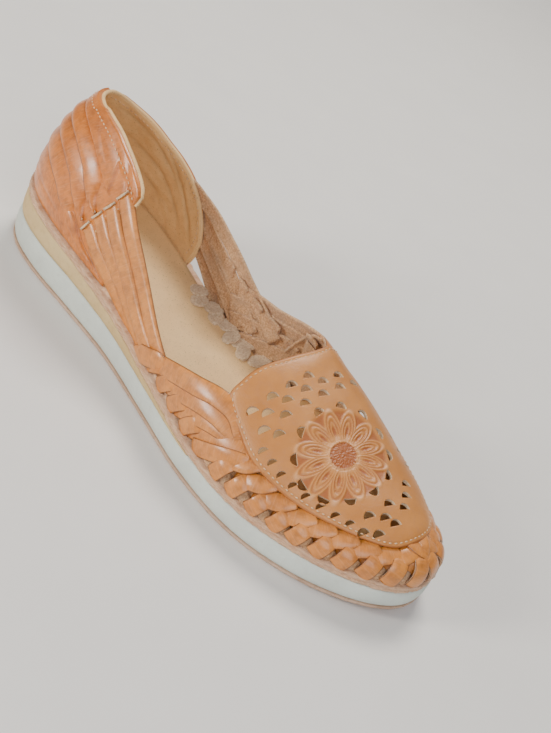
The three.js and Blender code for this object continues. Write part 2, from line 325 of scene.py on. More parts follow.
def lay_grid(bm, columns, rows, shape, size=(1.0, 1.0)):
    """A grid whose points go where shape(u, v) says, with the grid's own map in millimetres."""
    uv = bm.loops.layers.uv.get("Run") or bm.loops.layers.uv.new("Run")
    tone = bm.verts.layers.float.get("shade") or bm.verts.layers.float.new("shade")
    made = bmesh.ops.create_grid(bm, x_segments=columns, y_segments=rows, size=1.0)["verts"]
    flat = np.array([v.co[:2] for v in made])
    flat = (flat - flat.min(0)) / (flat.max(0) - flat.min(0))
    points, outs, shade = shape(flat[:, 0], flat[:, 1])
    number = {}
    for i, (vert, point) in enumerate(zip(made, placed(points))):
        vert.co = point
        vert[tone] = float(shade[i])
        number[vert] = i
    faces = list({f for v in made for f in v.link_faces})
    for face in faces:
        face.smooth = True
        for corner in face.loops:
            i = number[corner.vert]
            corner[uv].uv = (flat[i, 0] * size[0] / 10, flat[i, 1] * size[1] / 10)
    bm.normal_update()
    if outs is not None:
        facing = sum(f.normal.dot(Vector(outs[number[f.verts[0]]])) for f in faces)
        if facing < 0:
            bmesh.ops.reverse_faces(bm, faces=faces)
    return made, faces


def spread(rows):
    """Distances along a row of points, from 0 to 1."""
    steps = np.linalg.norm(np.diff(rows, axis=0), axis=1)
    total = np.concatenate([[0], np.cumsum(steps)])
    return total / total[-1]


def ribbon(bm, angles, rises, lift, width, steps=26, columns=8, crown=0.5, tilt=0.0,
           taper=(1.0, 1.0), bow=0.0, point=0.25, lean_to=0.0):
    """A leather strip laid on the last. lift, in mm, is a row of heights along it. The ends narrow to
    the taper's shares of the width over the point's share of the run, leaning to one edge."""
    angles, rises = np.asarray(angles, float), np.asarray(rises, float)
    rough = spread(wall(angles, rises, np.full(len(angles), WALL)))
    lift_places = np.linspace(0, 1, len(lift))
    fine = np.linspace(0, 1, 40)
    turns, climbs = smooth(rough, angles, fine), smooth(rough, rises, fine)
    even = spread(wall(turns, climbs, np.full(40, WALL)))
    length = np.linalg.norm(np.diff(wall(turns, climbs, np.full(40, WALL)), axis=0), axis=1).sum()

    def shape(u, v):
        place = np.interp(u, even, fine)
        across = np.sin((v - 0.5) * math.pi)
        height = smooth(lift_places, lift, u)

        def middle(p):
            p = np.clip(p, 0, 1)
            return wall(smooth(rough, angles, p), smooth(rough, rises, p), smooth(lift_places, lift, p))

        centre = wall(smooth(rough, angles, place), smooth(rough, rises, place), height)
        out = normal(smooth(rough, angles, place), np.maximum(smooth(rough, rises, place), 0.0))
        run = unit(middle(place + 0.01) - middle(place - 0.01))
        aside = unit(np.cross(out, run))
        lean = unit(np.cross(run, aside))
        ends = np.minimum(1, taper[0] + (1 - taper[0]) * u / point)
        ends = ends * np.minimum(1, taper[1] + (1 - taper[1]) * (1 - u) / point)
        wide = np.interp(u, np.linspace(0, 1, len(width)), width) if np.ndim(width) else width
        half = wide / 2 * ends
        centre = centre + aside * (lean_to * wide / 2 * (1 - ends))[:, None]
        drop = crown * np.abs(across) ** 4 - bow * (1 - across**2)
        points = centre + aside * (across * half)[:, None] + lean * (tilt * across - drop)[:, None]
        # The third value, the shade attribute, paints shade along the strip's two edges.
        return points, lean, np.abs(across)

    lay_grid(bm, steps, columns, shape, (length, float(np.mean(width))))


def close_seams(bm, distance=1e-6):
    bmesh.ops.remove_doubles(bm, verts=bm.verts[:], dist=distance)
    bmesh.ops.dissolve_degenerate(bm, dist=1e-7, edges=bm.edges[:])


def finish_piece(bm, name, materials, stands_for=(), thick=0.0, offset=-1.0):
    """Turns the bmesh into the finished piece, riding on the shoe."""
    mesh = bpy.data.meshes.new(name)
    bm.to_mesh(mesh)
    bm.free()
    piece = bpy.data.objects.new(name, mesh)
    bpy.context.scene.collection.objects.link(piece)
    for material in materials:
        mesh.materials.append(material)
    if thick:
        solid = piece.modifiers.new("Thickness", "SOLIDIFY")
        solid.thickness = thick * MM
        solid.offset = offset
        solid.use_even_offset = False
        solid.material_offset = 1 if len(materials) > 1 else 0
        solid.material_offset_rim = 1 if len(materials) > 1 else 0
    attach(piece, "root")
    if stands_for:
        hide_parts(*stands_for)
    return piece


# ---------------------------------------------------------------- materials


def linear(code):
    """An sRGB hex colour as linear red, green, blue, alpha."""
    parts = [int(code[i : i + 2], 16) / 255 for i in (1, 3, 5)]
    return (*[c / 12.92 if c <= 0.04045 else ((c + 0.055) / 1.055) ** 2.4 for c in parts], 1.0)


def add(tree, kind, settings=None, **inputs):
    """A node with its settings, and its inputs as values or as sockets to link from."""
    node = tree.nodes.new(kind)
    for name, value in (settings or {}).items():
        setattr(node, name, value)
    for name, value in inputs.items():
        numbered = name[0] == "i" and name[1:].isdigit()
        socket = node.inputs[int(name[1:]) if numbered else name.replace("_", " ")]
        if isinstance(value, bpy.types.NodeSocket):
            tree.links.new(value, socket)
        else:
            socket.default_value = value
    return node


def blank(name):
    material = bpy.data.materials.new(name)
    material.use_nodes = True
    tree = material.node_tree
    tree.nodes.clear()
    return material, tree


def grain(tree, source, scale, detail=3.0, rough=0.6):
    """Noise whose features are about scale millimetres across."""
    return add(tree, "ShaderNodeTexNoise", Vector=source, Scale=1 / (scale * MM), Detail=detail, Roughness=rough)


def mixed(tree, amount, first, second, blend="MIX"):
    node = add(tree, "ShaderNodeMix", {"data_type": "RGBA", "blend_type": blend})
    for socket, value in ((node.inputs[0], amount), (node.inputs[6], first), (node.inputs[7], second)):
        if isinstance(value, bpy.types.NodeSocket):
            tree.links.new(value, socket)
        else:
            socket.default_value = value
    return node.outputs[2]


def ranged(tree, value, low, high, to_low=0.0, to_high=1.0):
    made = add(tree, "ShaderNodeMapRange", None, i0=value, i1=low, i2=high, i3=to_low, i4=to_high)
    return made.outputs[0]


def finish_material(tree, colour, rough, bump, principled):
    shader = add(tree, "ShaderNodeBsdfPrincipled", None, **principled)
    tree.links.new(colour, shader.inputs["Base Color"])
    tree.links.new(rough, shader.inputs["Roughness"])
    tree.links.new(bump, shader.inputs["Normal"])
    out = add(tree, "ShaderNodeOutputMaterial")
    tree.links.new(shader.outputs[0], out.inputs[0])


def bumped(tree, height, strength, distance, under=None):
    node = add(tree, "ShaderNodeBump", None, Height=height, Strength=strength, Distance=distance * MM)
    if under is not None:
        tree.links.new(under, node.inputs["Normal"])
    return node.outputs[0]


def strip_leather(name, light, dark, edge_tone, sheen=0.35):
    """Vegetable-tanned strip leather, oiled and rubbed: warm tan, glossy on the bends, with fine
    cracks across the strip and painted shade along its edges and along the pleat lines of the quarter."""
    material, tree = blank(name)
    where = add(tree, "ShaderNodeTexCoord")
    run = add(tree, "ShaderNodeUVMap", {"uv_map": "Run"})
    body = where.outputs["Object"]
    broad = grain(tree, body, 14, 3.0)
    cloudy = grain(tree, body, 3.5, 4.0)
    across = add(tree, "ShaderNodeMapping", None, Vector=run.outputs[0], Scale=(1.0, 0.16, 1.0))
    cracks = add(tree, "ShaderNodeTexNoise", None, Vector=across.outputs[0], Scale=14.0, Detail=5.0, Roughness=0.7)
    pores = add(tree, "ShaderNodeTexVoronoi", None, Vector=body, Scale=1 / (0.55 * MM))
    base = mixed(tree, ranged(tree, broad.outputs[0], 0.35, 0.65), linear(light), linear(dark))
    base = mixed(tree, ranged(tree, cloudy.outputs[0], 0.45, 0.75, 0, 0.45), base, linear(edge_tone))
    base = mixed(tree, ranged(tree, cracks.outputs[0], 0.5, 0.72, 0, 0.35), base, linear("#F0B27C"))
    # Painted shade: the shade attribute darkens the strip edges and the pleat lines of the quarter.
    shade = add(tree, "ShaderNodeAttribute", {"attribute_name": "shade"})
    base = mixed(tree, ranged(tree, shade.outputs["Fac"], 0.86, 1.0, 0, 0.95), base, linear("#5E3213"))
    rough = ranged(tree, cracks.outputs[0], 0.3, 0.7, sheen - 0.06, sheen + 0.16)
    bump = bumped(tree, cracks.outputs[0], 0.5, 0.22)
    bump = bumped(tree, pores.outputs[0], 0.25, 0.12, bump)
    bump = bumped(tree, cloudy.outputs[0], 0.35, 0.5, bump)
    finish_material(tree, base, rough, bump, {"IOR": 1.5, "Coat_Weight": 0.45, "Coat_Roughness": 0.2})
    return material


def flesh_side(name, light, dark):
    """Flesh side of tanned leather: matt suede, grey-brown, speckled with loose fibre."""
    material, tree = blank(name)
    body = add(tree, "ShaderNodeTexCoord").outputs["Object"]
    speckle = grain(tree, body, 0.9, 4.0, 0.75)
    broad = grain(tree, body, 9, 3.0)
    nap = grain(tree, body, 0.45, 3.0)
    base = mixed(tree, ranged(tree, speckle.outputs[0], 0.38, 0.62), linear(dark), linear(light))
    base = mixed(tree, ranged(tree, broad.outputs[0], 0.45, 0.7, 0, 0.5), base, linear("#B0957A"))
    rough = ranged(tree, nap.outputs[0], 0.3, 0.7, 0.82, 0.97)
    bump = bumped(tree, speckle.outputs[0], 0.7, 0.45)
    bump = bumped(tree, nap.outputs[0], 0.5, 0.2, bump)
    finish_material(tree, base, rough, bump, {"IOR": 1.45, "Sheen_Weight": 0.25})
    return material


def lining_leather(name, light, dark, wrinkle):
    """Undyed lining leather, flexed by wear: matt cream-tan with fine wrinkles, faint grime specks and painted shade
    where the shade attribute is set.
    """
    material, tree = blank(name)
    body = add(tree, "ShaderNodeTexCoord").outputs["Object"]
    broad = grain(tree, body, 22, 4.0)
    mottled = grain(tree, body, 5, 4.0)
    specks = grain(tree, body, 0.7, 2.0)
    fine = grain(tree, body, 0.5, 3.0)
    stretched = add(tree, "ShaderNodeMapping", None, Vector=body, Scale=(1.0, 0.45, 1.0))
    folds = add(tree, "ShaderNodeTexNoise", None, Vector=stretched.outputs[0], Scale=1 / (2.4 * MM), Detail=4.0,
                Roughness=0.55, Distortion=0.6)
    base = mixed(tree, ranged(tree, broad.outputs[0], 0.35, 0.68), linear(light), linear(dark))
    base = mixed(tree, ranged(tree, mottled.outputs[0], 0.5, 0.8, 0, 0.4), base, linear("#CDA57A"))
    base = mixed(tree, ranged(tree, specks.outputs[0], 0.64, 0.69, 0, 0.7), base, linear("#8A6A4A"))
    # Painted shade: darker where the shade attribute marks the folds of the lining and the edges of the sock.
    shade = add(tree, "ShaderNodeAttribute", {"attribute_name": "shade"})
    base = mixed(tree, ranged(tree, shade.outputs["Fac"], 0.0, 1.0, 0, 0.7), base, linear("#8D6F50"))
    rough = ranged(tree, fine.outputs[0], 0.3, 0.7, 0.55, 0.75)
    bump = bumped(tree, folds.outputs[0], 0.6, wrinkle)
    bump = bumped(tree, fine.outputs[0], 0.3, 0.12, bump)
    finish_material(tree, base, rough, bump, {"IOR": 1.46, "Sheen_Weight": 0.08})
    return material


def panel_leather(name, light, dark, deep):
    """Tooled and waxed saddle leather: satin tan, darker and redder in the pressed parts, with
    painted highlight along the tooled lines, light worn flecks and pinhead grain."""
    material, tree = blank(name)
    body = add(tree, "ShaderNodeTexCoord").outputs["Object"]
    broad = grain(tree, body, 16, 4.0)
    cloudy = grain(tree, body, 2.5, 4.0)
    fine = grain(tree, body, 0.5, 4.0, 0.7)
    pores = add(tree, "ShaderNodeTexVoronoi", None, Vector=body, Scale=1 / (0.7 * MM))
    base = mixed(tree, ranged(tree, broad.outputs[0], 0.35, 0.68), linear(light), linear(dark))
    base = mixed(tree, ranged(tree, cloudy.outputs[0], 0.48, 0.75, 0, 0.5), base, linear("#B97C50"))
    shade = add(tree, "ShaderNodeAttribute", {"attribute_name": "shade"})
    base = mixed(tree, ranged(tree, shade.outputs["Fac"], 0.0, 1.0, 0, 0.85), base, linear(deep))
    # Shade below 0: painted highlight along the tooled lines, and real rubbed wear in the flecks near the inner edge.
    base = mixed(tree, ranged(tree, shade.outputs["Fac"], 0.0, -1.0, 0, 0.6), base, linear("#EFB47E"))
    rough = ranged(tree, fine.outputs[0], 0.3, 0.7, 0.36, 0.56)
    bump = bumped(tree, pores.outputs[0], 0.35, 0.16)
    bump = bumped(tree, fine.outputs[0], 0.4, 0.15, bump)
    bump = bumped(tree, cloudy.outputs[0], 0.3, 0.35, bump)
    finish_material(tree, base, rough, bump, {"IOR": 1.5, "Coat_Weight": 0.15, "Coat_Roughness": 0.3})
    return material


def board_leather(name, light, dark):
    """Raw cut edge of pressed leather board: pinkish tan fibres in layers, matt and a bit fluffy."""
    material, tree = blank(name)
    body = add(tree, "ShaderNodeTexCoord").outputs["Object"]
    layered = add(tree, "ShaderNodeMapping", None, Vector=body, Scale=(0.35, 0.35, 2.4))
    layers = add(tree, "ShaderNodeTexNoise", None, Vector=layered.outputs[0], Scale=1 / (2.0 * MM), Detail=5.0,
                 Roughness=0.7)
    broad = grain(tree, body, 11, 3.0)
    fibre = grain(tree, body, 0.5, 4.0, 0.8)
    base = mixed(tree, ranged(tree, layers.outputs[0], 0.36, 0.62), linear(dark), linear(light))
    base = mixed(tree, ranged(tree, broad.outputs[0], 0.45, 0.7, 0, 0.55), base, linear("#C9A083"))
    base = mixed(tree, ranged(tree, fibre.outputs[0], 0.55, 0.75, 0, 0.5), base, linear("#F0DCC6"))
    rough = ranged(tree, fibre.outputs[0], 0.3, 0.7, 0.8, 0.97)
    bump = bumped(tree, layers.outputs[0], 0.8, 0.6)
    bump = bumped(tree, fibre.outputs[0], 0.7, 0.35, bump)
    finish_material(tree, base, rough, bump, {"IOR": 1.45, "Sheen_Weight": 0.2})
    return material


def foam_rubber(name, light, dark, dirt_and_shade, dirty=0.35):
    """Sanded EVA foam: matt with a fine skin, scuffed with street grime, and with painted shade along the top and
    bottom lines of its sides.
    """
    material, tree = blank(name)
    body = add(tree, "ShaderNodeTexCoord").outputs["Object"]
    broad = grain(tree, body, 25, 4.0)
    scuff = grain(tree, body, 3, 5.0, 0.7)
    fine = grain(tree, body, 0.4, 3.0)
    base = mixed(tree, ranged(tree, broad.outputs[0], 0.35, 0.68), linear(light), linear(dark))
    base = mixed(tree, ranged(tree, scuff.outputs[0], 0.52, 0.78, 0, dirty), base, linear(dirt_and_shade))
    shade = add(tree, "ShaderNodeAttribute", {"attribute_name": "shade"})
    # Painted shade along the top and bottom lines of the sides, in the same colour as the scuffs.
    base = mixed(tree, ranged(tree, shade.outputs["Fac"], 0.2, 1.0, 0, 0.75), base, linear(dirt_and_shade))
    rough = ranged(tree, scuff.outputs[0], 0.3, 0.7, 0.6, 0.8)
    bump = bumped(tree, fine.outputs[0], 0.3, 0.12)
    bump = bumped(tree, scuff.outputs[0], 0.25, 0.3, bump)
    finish_material(tree, base, rough, bump, {"IOR": 1.48})
    return material


def sewing_thread(name, light, dark):
    """Waxed polyester thread: pale, with the twist of its plies."""
    material, tree = blank(name)
    body = add(tree, "ShaderNodeTexCoord").outputs["Object"]
    twist = grain(tree, body, 0.5, 3.0)
    base = mixed(tree, ranged(tree, twist.outputs[0], 0.35, 0.65), linear(light), linear(dark))
    rough = ranged(tree, twist.outputs[0], 0.3, 0.7, 0.5, 0.7)
    bump = bumped(tree, twist.outputs[0], 0.5, 0.15)
    finish_material(tree, base, rough, bump, {"IOR": 1.5})
    return material


def plain_floor(name, light):
    """Matt paper backdrop."""
    material, tree = blank(name)
    body = add(tree, "ShaderNodeTexCoord").outputs["Object"]
    fine = grain(tree, body, 40, 2.0)
    base = mixed(tree, ranged(tree, fine.outputs[0], 0.3, 0.7, 0, 0.25), linear(light), linear("#DEDCD8"))
    rough = ranged(tree, fine.outputs[0], 0.3, 0.7, 0.85, 0.95)
    bump = bumped(tree, fine.outputs[0], 0.02, 0.05)
    finish_material(tree, base, rough, bump, {"IOR": 1.3})
    return material


# ---------------------------------------------------------------- settings


def shown(code):
    """The default of a colour property from its hex code."""
    return tuple(int(code[i : i + 2], 16) / 255 for i in (1, 3, 5))


def coded(colour):
    """The hex code of a colour property."""
    return "#" + "".join(f"{round(255 * c):02X}" for c in colour)


class HuaracheSizes(bpy.types.PropertyGroup):
    """Sizes of the worked pieces."""

    strip_thickness: bpy.props.FloatProperty(
        name="Strip thickness", description="Thickness of the strip leather", default=0.0014, unit="LENGTH"
    )
    panel_thickness: bpy.props.FloatProperty(
        name="Panel thickness", description="Thickness of the tooled vamp panel", default=0.0015, unit="LENGTH"
    )
    stitch_length: bpy.props.FloatProperty(
        name="Stitch length", description="Length of one stitch on the leather", default=0.0017, unit="LENGTH"
    )
    stitch_pitch: bpy.props.FloatProperty(
        name="Stitch pitch", description="Distance from stitch to stitch", default=0.0025, unit="LENGTH"
    )
    thread_width: bpy.props.FloatProperty(
        name="Thread width", description="Width of the sewing thread", default=0.0007, unit="LENGTH"
    )
    floor_width: bpy.props.FloatProperty(
        name="Floor width", description="Width of the stage floor", default=6.0, unit="LENGTH"
    )


class HuaracheColours(bpy.types.PropertyGroup):
    """Main colours of the materials."""

    strip: bpy.props.FloatVectorProperty(
        name="Strip leather", description="Light tone of the strips", default=shown("#DB8A38"),
        subtype="COLOR_GAMMA", min=0, max=1,
    )
    quarter: bpy.props.FloatVectorProperty(
        name="Quarter leather", description="Light tone of the heel quarter", default=shown("#D67C2A"),
        subtype="COLOR_GAMMA", min=0, max=1,
    )
    panel: bpy.props.FloatVectorProperty(
        name="Panel leather", description="Light tone of the vamp panel", default=shown("#CC8843"),
        subtype="COLOR_GAMMA", min=0, max=1,
    )
    lining: bpy.props.FloatVectorProperty(
        name="Lining", description="Light tone of the lining and insole", default=shown("#EFC98E"),
        subtype="COLOR_GAMMA", min=0, max=1,
    )
    foam: bpy.props.FloatVectorProperty(
        name="Midsole", description="Light tone of the white foam", default=shown("#D6DED4"),
        subtype="COLOR_GAMMA", min=0, max=1,
    )
    floor: bpy.props.FloatVectorProperty(
        name="Floor", description="Colour of the stage floor", default=shown("#E9E7E3"),
        subtype="COLOR_GAMMA", min=0, max=1,
    )


def sizes():
    return bpy.context.scene.huarache_sizes


def finish(name):
    """The material of that name, made once."""
    found = bpy.data.materials.get(name)
    if found is not None:
        return found
    colours = bpy.context.scene.huarache_colours
    makers = {
        "oiled_strip_leather": lambda n: strip_leather(n, coded(colours.strip), "#C87A30", "#7A4518"),
        "oiled_quarter_leather": lambda n: strip_leather(n, coded(colours.quarter), "#C06A20", "#6E3A10", 0.33),
        "suede_flesh_side": lambda n: flesh_side(n, "#E2B88A", "#AE8057"),
        "undyed_lining_leather": lambda n: lining_leather(n, coded(colours.lining), "#E2B87C", 0.55),
        "undyed_sock_leather": lambda n: lining_leather(n, coded(colours.lining), "#E4BC82", 0.14),
        "tooled_saddle_leather": lambda n: panel_leather(n, coded(colours.panel), "#BC7834", "#964A1E"),
        # Cut-edge leather made paler than its own colour, to stand in for light on the strip ends inside the shoe,
        # which lie in shade: painted light.
        "raw_cut_leather": lambda n: flesh_side(n, "#F2DDBA", "#CFAE84"),
        "pressed_leather_board": lambda n: board_leather(n, "#E3BD98", "#BE8C66"),
        "white_eva_foam": lambda n: foam_rubber(n, coded(colours.foam), "#C9CFC6", "#B3AC9C", 0.25),
        "cream_eva_foam": lambda n: foam_rubber(n, "#D3B987", "#C6A772", "#9C7E52", 0.3),
        "tan_crepe_rubber": lambda n: foam_rubber(n, "#CDAE94", "#B8957A", "#7A5E48", 0.6),
        "waxed_thread": lambda n: sewing_thread(n, "#E9C9A0", "#C9A074"),
        "paper_floor": lambda n: plain_floor(n, coded(colours.floor)),
    }
    return makers[name](name)


# ---------------------------------------------------------------- sole


def ripple(points, size, depth, seed):
    """Smooth noise at each point, size in mm across."""
    shift = Vector((seed * 7.3, seed * 3.1, seed * 5.7))
    return np.array([depth * noise.noise(Vector(p) / size + shift) for p in points])


def sole_layer(bm, low, high, profile, end=180.0, steps=220, tops=4, fray=0.0, seed=1, over=None):
    """One layer of the sole between two heights. profile goes up the side as rows of share of the
    height and how far out from the sole's edge."""
    section = [(0.0, 0.0, profile[0][1])]
    section += [(1.0, share, out) for share, out in profile]
    inner = [1 - 2 * (i + 1) / (tops + 1) for i in range(tops)]
    section += [(side, 1.0, profile[-1][1]) for side in inner]
    section += [(-1.0, share, out) for share, out in reversed(profile)]
    section += [section[0]]
    side = np.array([row[0] for row in section])
    share = np.array([row[1] for row in section])
    out = np.array([row[2] for row in section])

    def shape(u, v):
        turn = np.clip(u, 0, 1) * end
        k = np.rint(v * (len(section) - 1)).astype(int)
        left = edge(turn) + outward(turn) * out[k][:, None]
        right = edge(-turn) + outward(-turn) * out[k][:, None]
        blend = ((1 + side[k]) / 2)[:, None]
        flat = left * blend + right * (1 - blend)
        bottom, top = low(flat[:, 1]), high(flat[:, 1])
        points = np.concatenate([flat, (bottom + (top - bottom) * share[k])[:, None]], 1)
        rim = np.abs(side[k]) > 0.99
        if fray:
            rough = ripple(points, 1.1, fray, seed) + ripple(points, 4.5, fray * 0.8, seed + 1)
            push = outward(np.where(side[k] > 0, turn, -turn))
            points[:, :2] += push * (rough * rim)[:, None]
            points[:, 2] += np.where(rim, ripple(points, 2.4, fray * 0.7, seed + 2), 0)
        if over is not None:
            points[:, 2] += over(points, share[k] > 0.99)
        # Painted shade along the bottom and top lines of the layer's side, where it meets the ground or the next layer.
        shade = np.where(rim, np.where((share[k] < 0.1) | (share[k] > 0.97), 0.55, 0.0), 0.0)
        return points, None, shade

    lay_grid(bm, steps, len(section) - 1, shape)
    close_seams(bm)
    bmesh.ops.holes_fill(bm, edges=bm.edges[:], sides=0)
    bmesh.ops.recalc_face_normals(bm, faces=bm.faces[:])


def board_low(y):
    return board_top(y) - BOARD


def midsole_top(y):
    return board_low(y) - GAP - WEDGE_HEEL * np.maximum(0, 1 - np.maximum(y, 0) / WEDGE_END)


def build_outsole():
    bm = bmesh.new()
    sole_layer(bm, ground, lambda y: ground(y) + OUTSOLE, ((0, -0.5), (0.25, 0), (0.75, 0.15), (1, -0.1)), fray=0.12)
    finish_piece(bm, "outsole_sheet", [finish("tan_crepe_rubber")], ["outsole"])


def build_midsole():
    bm = bmesh.new()
    profile = ((0, -0.9), (0.06, -0.25), (0.16, 0.2), (0.35, 0.55), (0.6, 0.55), (0.82, 0.25), (0.95, -0.2), (1, -0.8))
    sole_layer(bm, lambda y: ground(y) + OUTSOLE + 0.05, lambda y: midsole_top(y) + 0.2, profile, steps=260, seed=4, fray=0.05)
    finish_piece(bm, "midsole_foam", [finish("white_eva_foam")], ["midsole"])


def build_wedge():
    bm = bmesh.new()
    last_turn = math.degrees(math.acos(1 - 2 * WEDGE_TIP / SOLE_LENGTH))
    profile = ((0, -0.7), (0.08, -0.1), (0.3, 0.15), (0.7, 0.1), (0.92, -0.15), (1, -0.7))
    sole_layer(bm, lambda y: midsole_top(y) + 0.22, lambda y: board_low(y) - 0.05, profile, end=last_turn, seed=7, fray=0.06)
    finish_piece(bm, "wedge_foam", [finish("cream_eva_foam")], ["wedge"])


def build_board():
    bm = bmesh.new()
    profile = ((0, -0.9), (0.06, -0.2), (0.2, 0.25), (0.36, 0.3), (0.48, -0.15), (0.56, -0.2), (0.66, 0.2), (0.82, 0.3),
               (0.94, 0.1), (1, -0.6))
    sole_layer(bm, board_low, lambda y: board_top(y) - 0.02, profile, steps=620, seed=11, fray=0.42)
    finish_piece(bm, "leather_board_edge", [finish("pressed_leather_board")], ["leather_board"])


def build_insole():
    bm = bmesh.new()
    inset = -(INSET + WALL + 0.25)

    def worn(points, top):
        dent = -0.5 * np.exp(-(((points[:, 0] + 2) / 17) ** 2 + ((points[:, 1] - 38) / 26) ** 2))
        dent -= 0.45 * np.exp(-(((points[:, 0] - 4) / 24) ** 2 + ((points[:, 1] - 190) / 30) ** 2))
        return np.where(top, dent + ripple(points, 16, 0.25, 23) + ripple(points, 5, 0.1, 24), 0)

    sole_layer(bm, lambda y: board_top(y) + 0.1, lambda y: board_top(y) + 2.3,
               ((0, inset), (0.5, inset), (0.85, inset - 0.1), (1, inset - 0.6)), tops=27, seed=21, over=worn)
    finish_piece(bm, "sock_lining", [finish("undyed_sock_leather")], ["insole"])


# ---------------------------------------------------------------- quarter


def rise_at(angle, height):
    """Rise at which the wall stands that high, at one angle."""
    rises = np.linspace(0, 0.95, 200)
    return float(np.interp(height, wall(np.full(200, angle), rises, np.full(200, WALL))[:, 2], rises))


class Curve:
    """A curve on the last through rows of angle and rise, by its length from 0 to 1."""

    def __init__(self, angles, rises):
        self.angles, self.rises = np.asarray(angles, float), np.asarray(rises, float)
        self.places = spread(wall(self.angles, self.rises, np.full(len(self.angles), WALL)))

    def at(self, place):
        return smooth(self.places, self.angles, place), smooth(self.places, self.rises, place)


def quarter_curves():
    lateral, medial = on_side(1, LATERAL_TOP[2:]), on_side(-1, MEDIAL_TOP[3:])
    heights = ((26, 83.6), (14, 83.5), (4, 83.2), (-4, 82.6))
    back = [(angle, rise_at(angle, height)) for angle, height in heights if angle > medial[0][0] + 4]
    top = Curve(
        np.concatenate([lateral[0][::-1], [b[0] for b in back], medial[0]]),
        np.concatenate([lateral[1][::-1], [b[1] for b in back], medial[1]]),
    )
    left = Curve(*(part[::-1] for part in on_side(1, LATERAL_FRONT)))
    right = Curve(*(part[::-1] for part in on_side(-1, MEDIAL_FRONT)))
    return top, left, right


def quarter_patch(u, v, top, left, right):
    """Angle and rise inside the quarter, u from its lateral to its medial front edge, v upward."""
    top_at, left_at, right_at = top.at(u), left.at(v), right.at(v)
    ends = [np.array(left.at(0.0)), np.array(left.at(1.0)), np.array(right.at(0.0)), np.array(right.at(1.0))]
    found = []
    for i in range(2):
        foot = (1 - u) * ends[0][i] + u * ends[2][i]
        corners = (1 - u) * ((1 - v) * ends[0][i] + v * ends[1][i]) + u * ((1 - v) * ends[2][i] + v * ends[3][i])
        found.append((1 - v) * foot + v * top_at[i] + (1 - u) * left_at[i] + u * right_at[i] - corners)
    return found[0], np.clip(found[1], 0, 0.99)


def topline(y, side):
    rows = LATERAL_TOP if side > 0 else MEDIAL_TOP
    places, values = zip(*rows)
    return smooth(places, values, np.clip(y, 2, rows[-1][0]))


def step(x):
    t = np.clip(x, 0, 1)
    return t * t * (3 - 2 * t)


def quarter_relief(points, lateral):
    """Height and shade of the pleats, the puffed lower band and the creases of the quarter."""
    y, z = points[:, 1], points[:, 2]
    foot = board_top(y) + GAP
    top = np.where(lateral, topline(y, 1), topline(y, -1))
    share = (z - foot) / (top - foot)
    tall = top - foot
    lines = [smooth(PLEAT_PLACES, row, np.clip(y, 0, 62)) for row, _ in PLEATS] + [np.full(len(y), 1.02)]
    height, shade = np.zeros(len(y)), np.zeros(len(y))
    for k, (_, front) in enumerate(PLEATS[-1:], len(PLEATS) - 1):
        t = (share - lines[k]) / (lines[k + 1] - lines[k])
        width = (lines[k + 1] - lines[k]) * tall
        inside = (t > 0) & (t <= 1)
        lip = np.sqrt(1 - (1 - np.clip(t * width / 1.1, 0, 1)) ** 2)
        puff = lip * 1.5
        stop = np.maximum(step((front + (0.8 - 7 * t) - y) / 1.4), step((share - 0.86) / 0.06))
        height = np.where(inside, puff * stop, height)
        # Painted shade along the lower edge of the top pleat, where it laps over the one below.
        near = np.exp(-((np.minimum(np.abs(t), 9) * width / 0.55) ** 2)) * step((front + 1.5 - y) / 1.5)
        shade = np.maximum(shade, near)
    edge_line = smooth(BAND_PLACES, BAND_EDGE, np.clip(y, 0, 80))
    t = share / edge_line
    width = edge_line * tall
    swell = np.minimum(2.3, width * 0.35)
    round_end = step((82 - y) / 5)
    low = (t < 1) & (y < 82)
    height = np.where(low, swell * np.sqrt(np.clip(1 - np.abs(2 * t - 0.9) ** 2.4, 0, 1)) * round_end, height)
    # Painted shade along the upper edge of the puffed lower band.
    shade = np.maximum(shade, np.exp(-((np.abs(t - 1) * width / 0.6) ** 2)) * step((81 - y) / 2))
    for cy, cz, lean, length, deep in QUARTER_CREASES:
        run = (y - cy) * math.cos(lean) + (z - cz) * math.sin(lean)
        off = -(y - cy) * math.sin(lean) + (z - cz) * math.cos(lean)
        height -= deep * np.exp(-((run / length) ** 2) - (off / 1.1) ** 2)
        height += 0.4 * deep * np.exp(-((run / length) ** 2) - ((off - 2.4) / 1.5) ** 2)
    return height, np.clip(shade, 0, 1)


# Creases worked into the quarter by wear: middle y, z, lean in radians, half length, depth.
QUARTER_CREASES = (
    (66, 70, -0.9, 5, 0.45), (70, 62, -1.1, 5, 0.4), (64, 74, -0.6, 5, 0.3), (52, 77, -0.4, 6, 0.25),
    (68, 52, -1.2, 4, 0.3), (38, 79, -0.2, 8, 0.25), (60, 46, -0.9, 3, 0.3), (30, 38, -0.15, 10, 0.35),
    (55, 33, -0.4, 8, 0.4), (12, 40, 0.1, 6, 0.3), (44, 74, -0.4, 6, 0.3), (28, 66, -0.3, 8, 0.2),
)
# Folds of the lining inside the heel: middle y, z, lean, half length, depth.
LINING_FOLDS = (
    (50, 60, -0.7, 14, 0.9), (60, 52, -0.8, 12, 0.8), (66, 46, -0.7, 9, 0.7), (40, 62, -0.5, 14, 0.7),
    (30, 56, -0.3, 14, 0.6), (56, 44, -0.6, 9, 0.6), (70, 42, -0.9, 7, 0.6), (22, 70, -0.4, 9, 0.6),
    (46, 50, -0.5, 10, 0.6), (36, 44, -0.3, 10, 0.5),
)


def pleat_share(k, y):
    if k >= len(PLEATS):
        return np.full(np.shape(y), 1.0)
    return smooth(PLEAT_PLACES, PLEATS[k][0], np.clip(y, 0, 60))


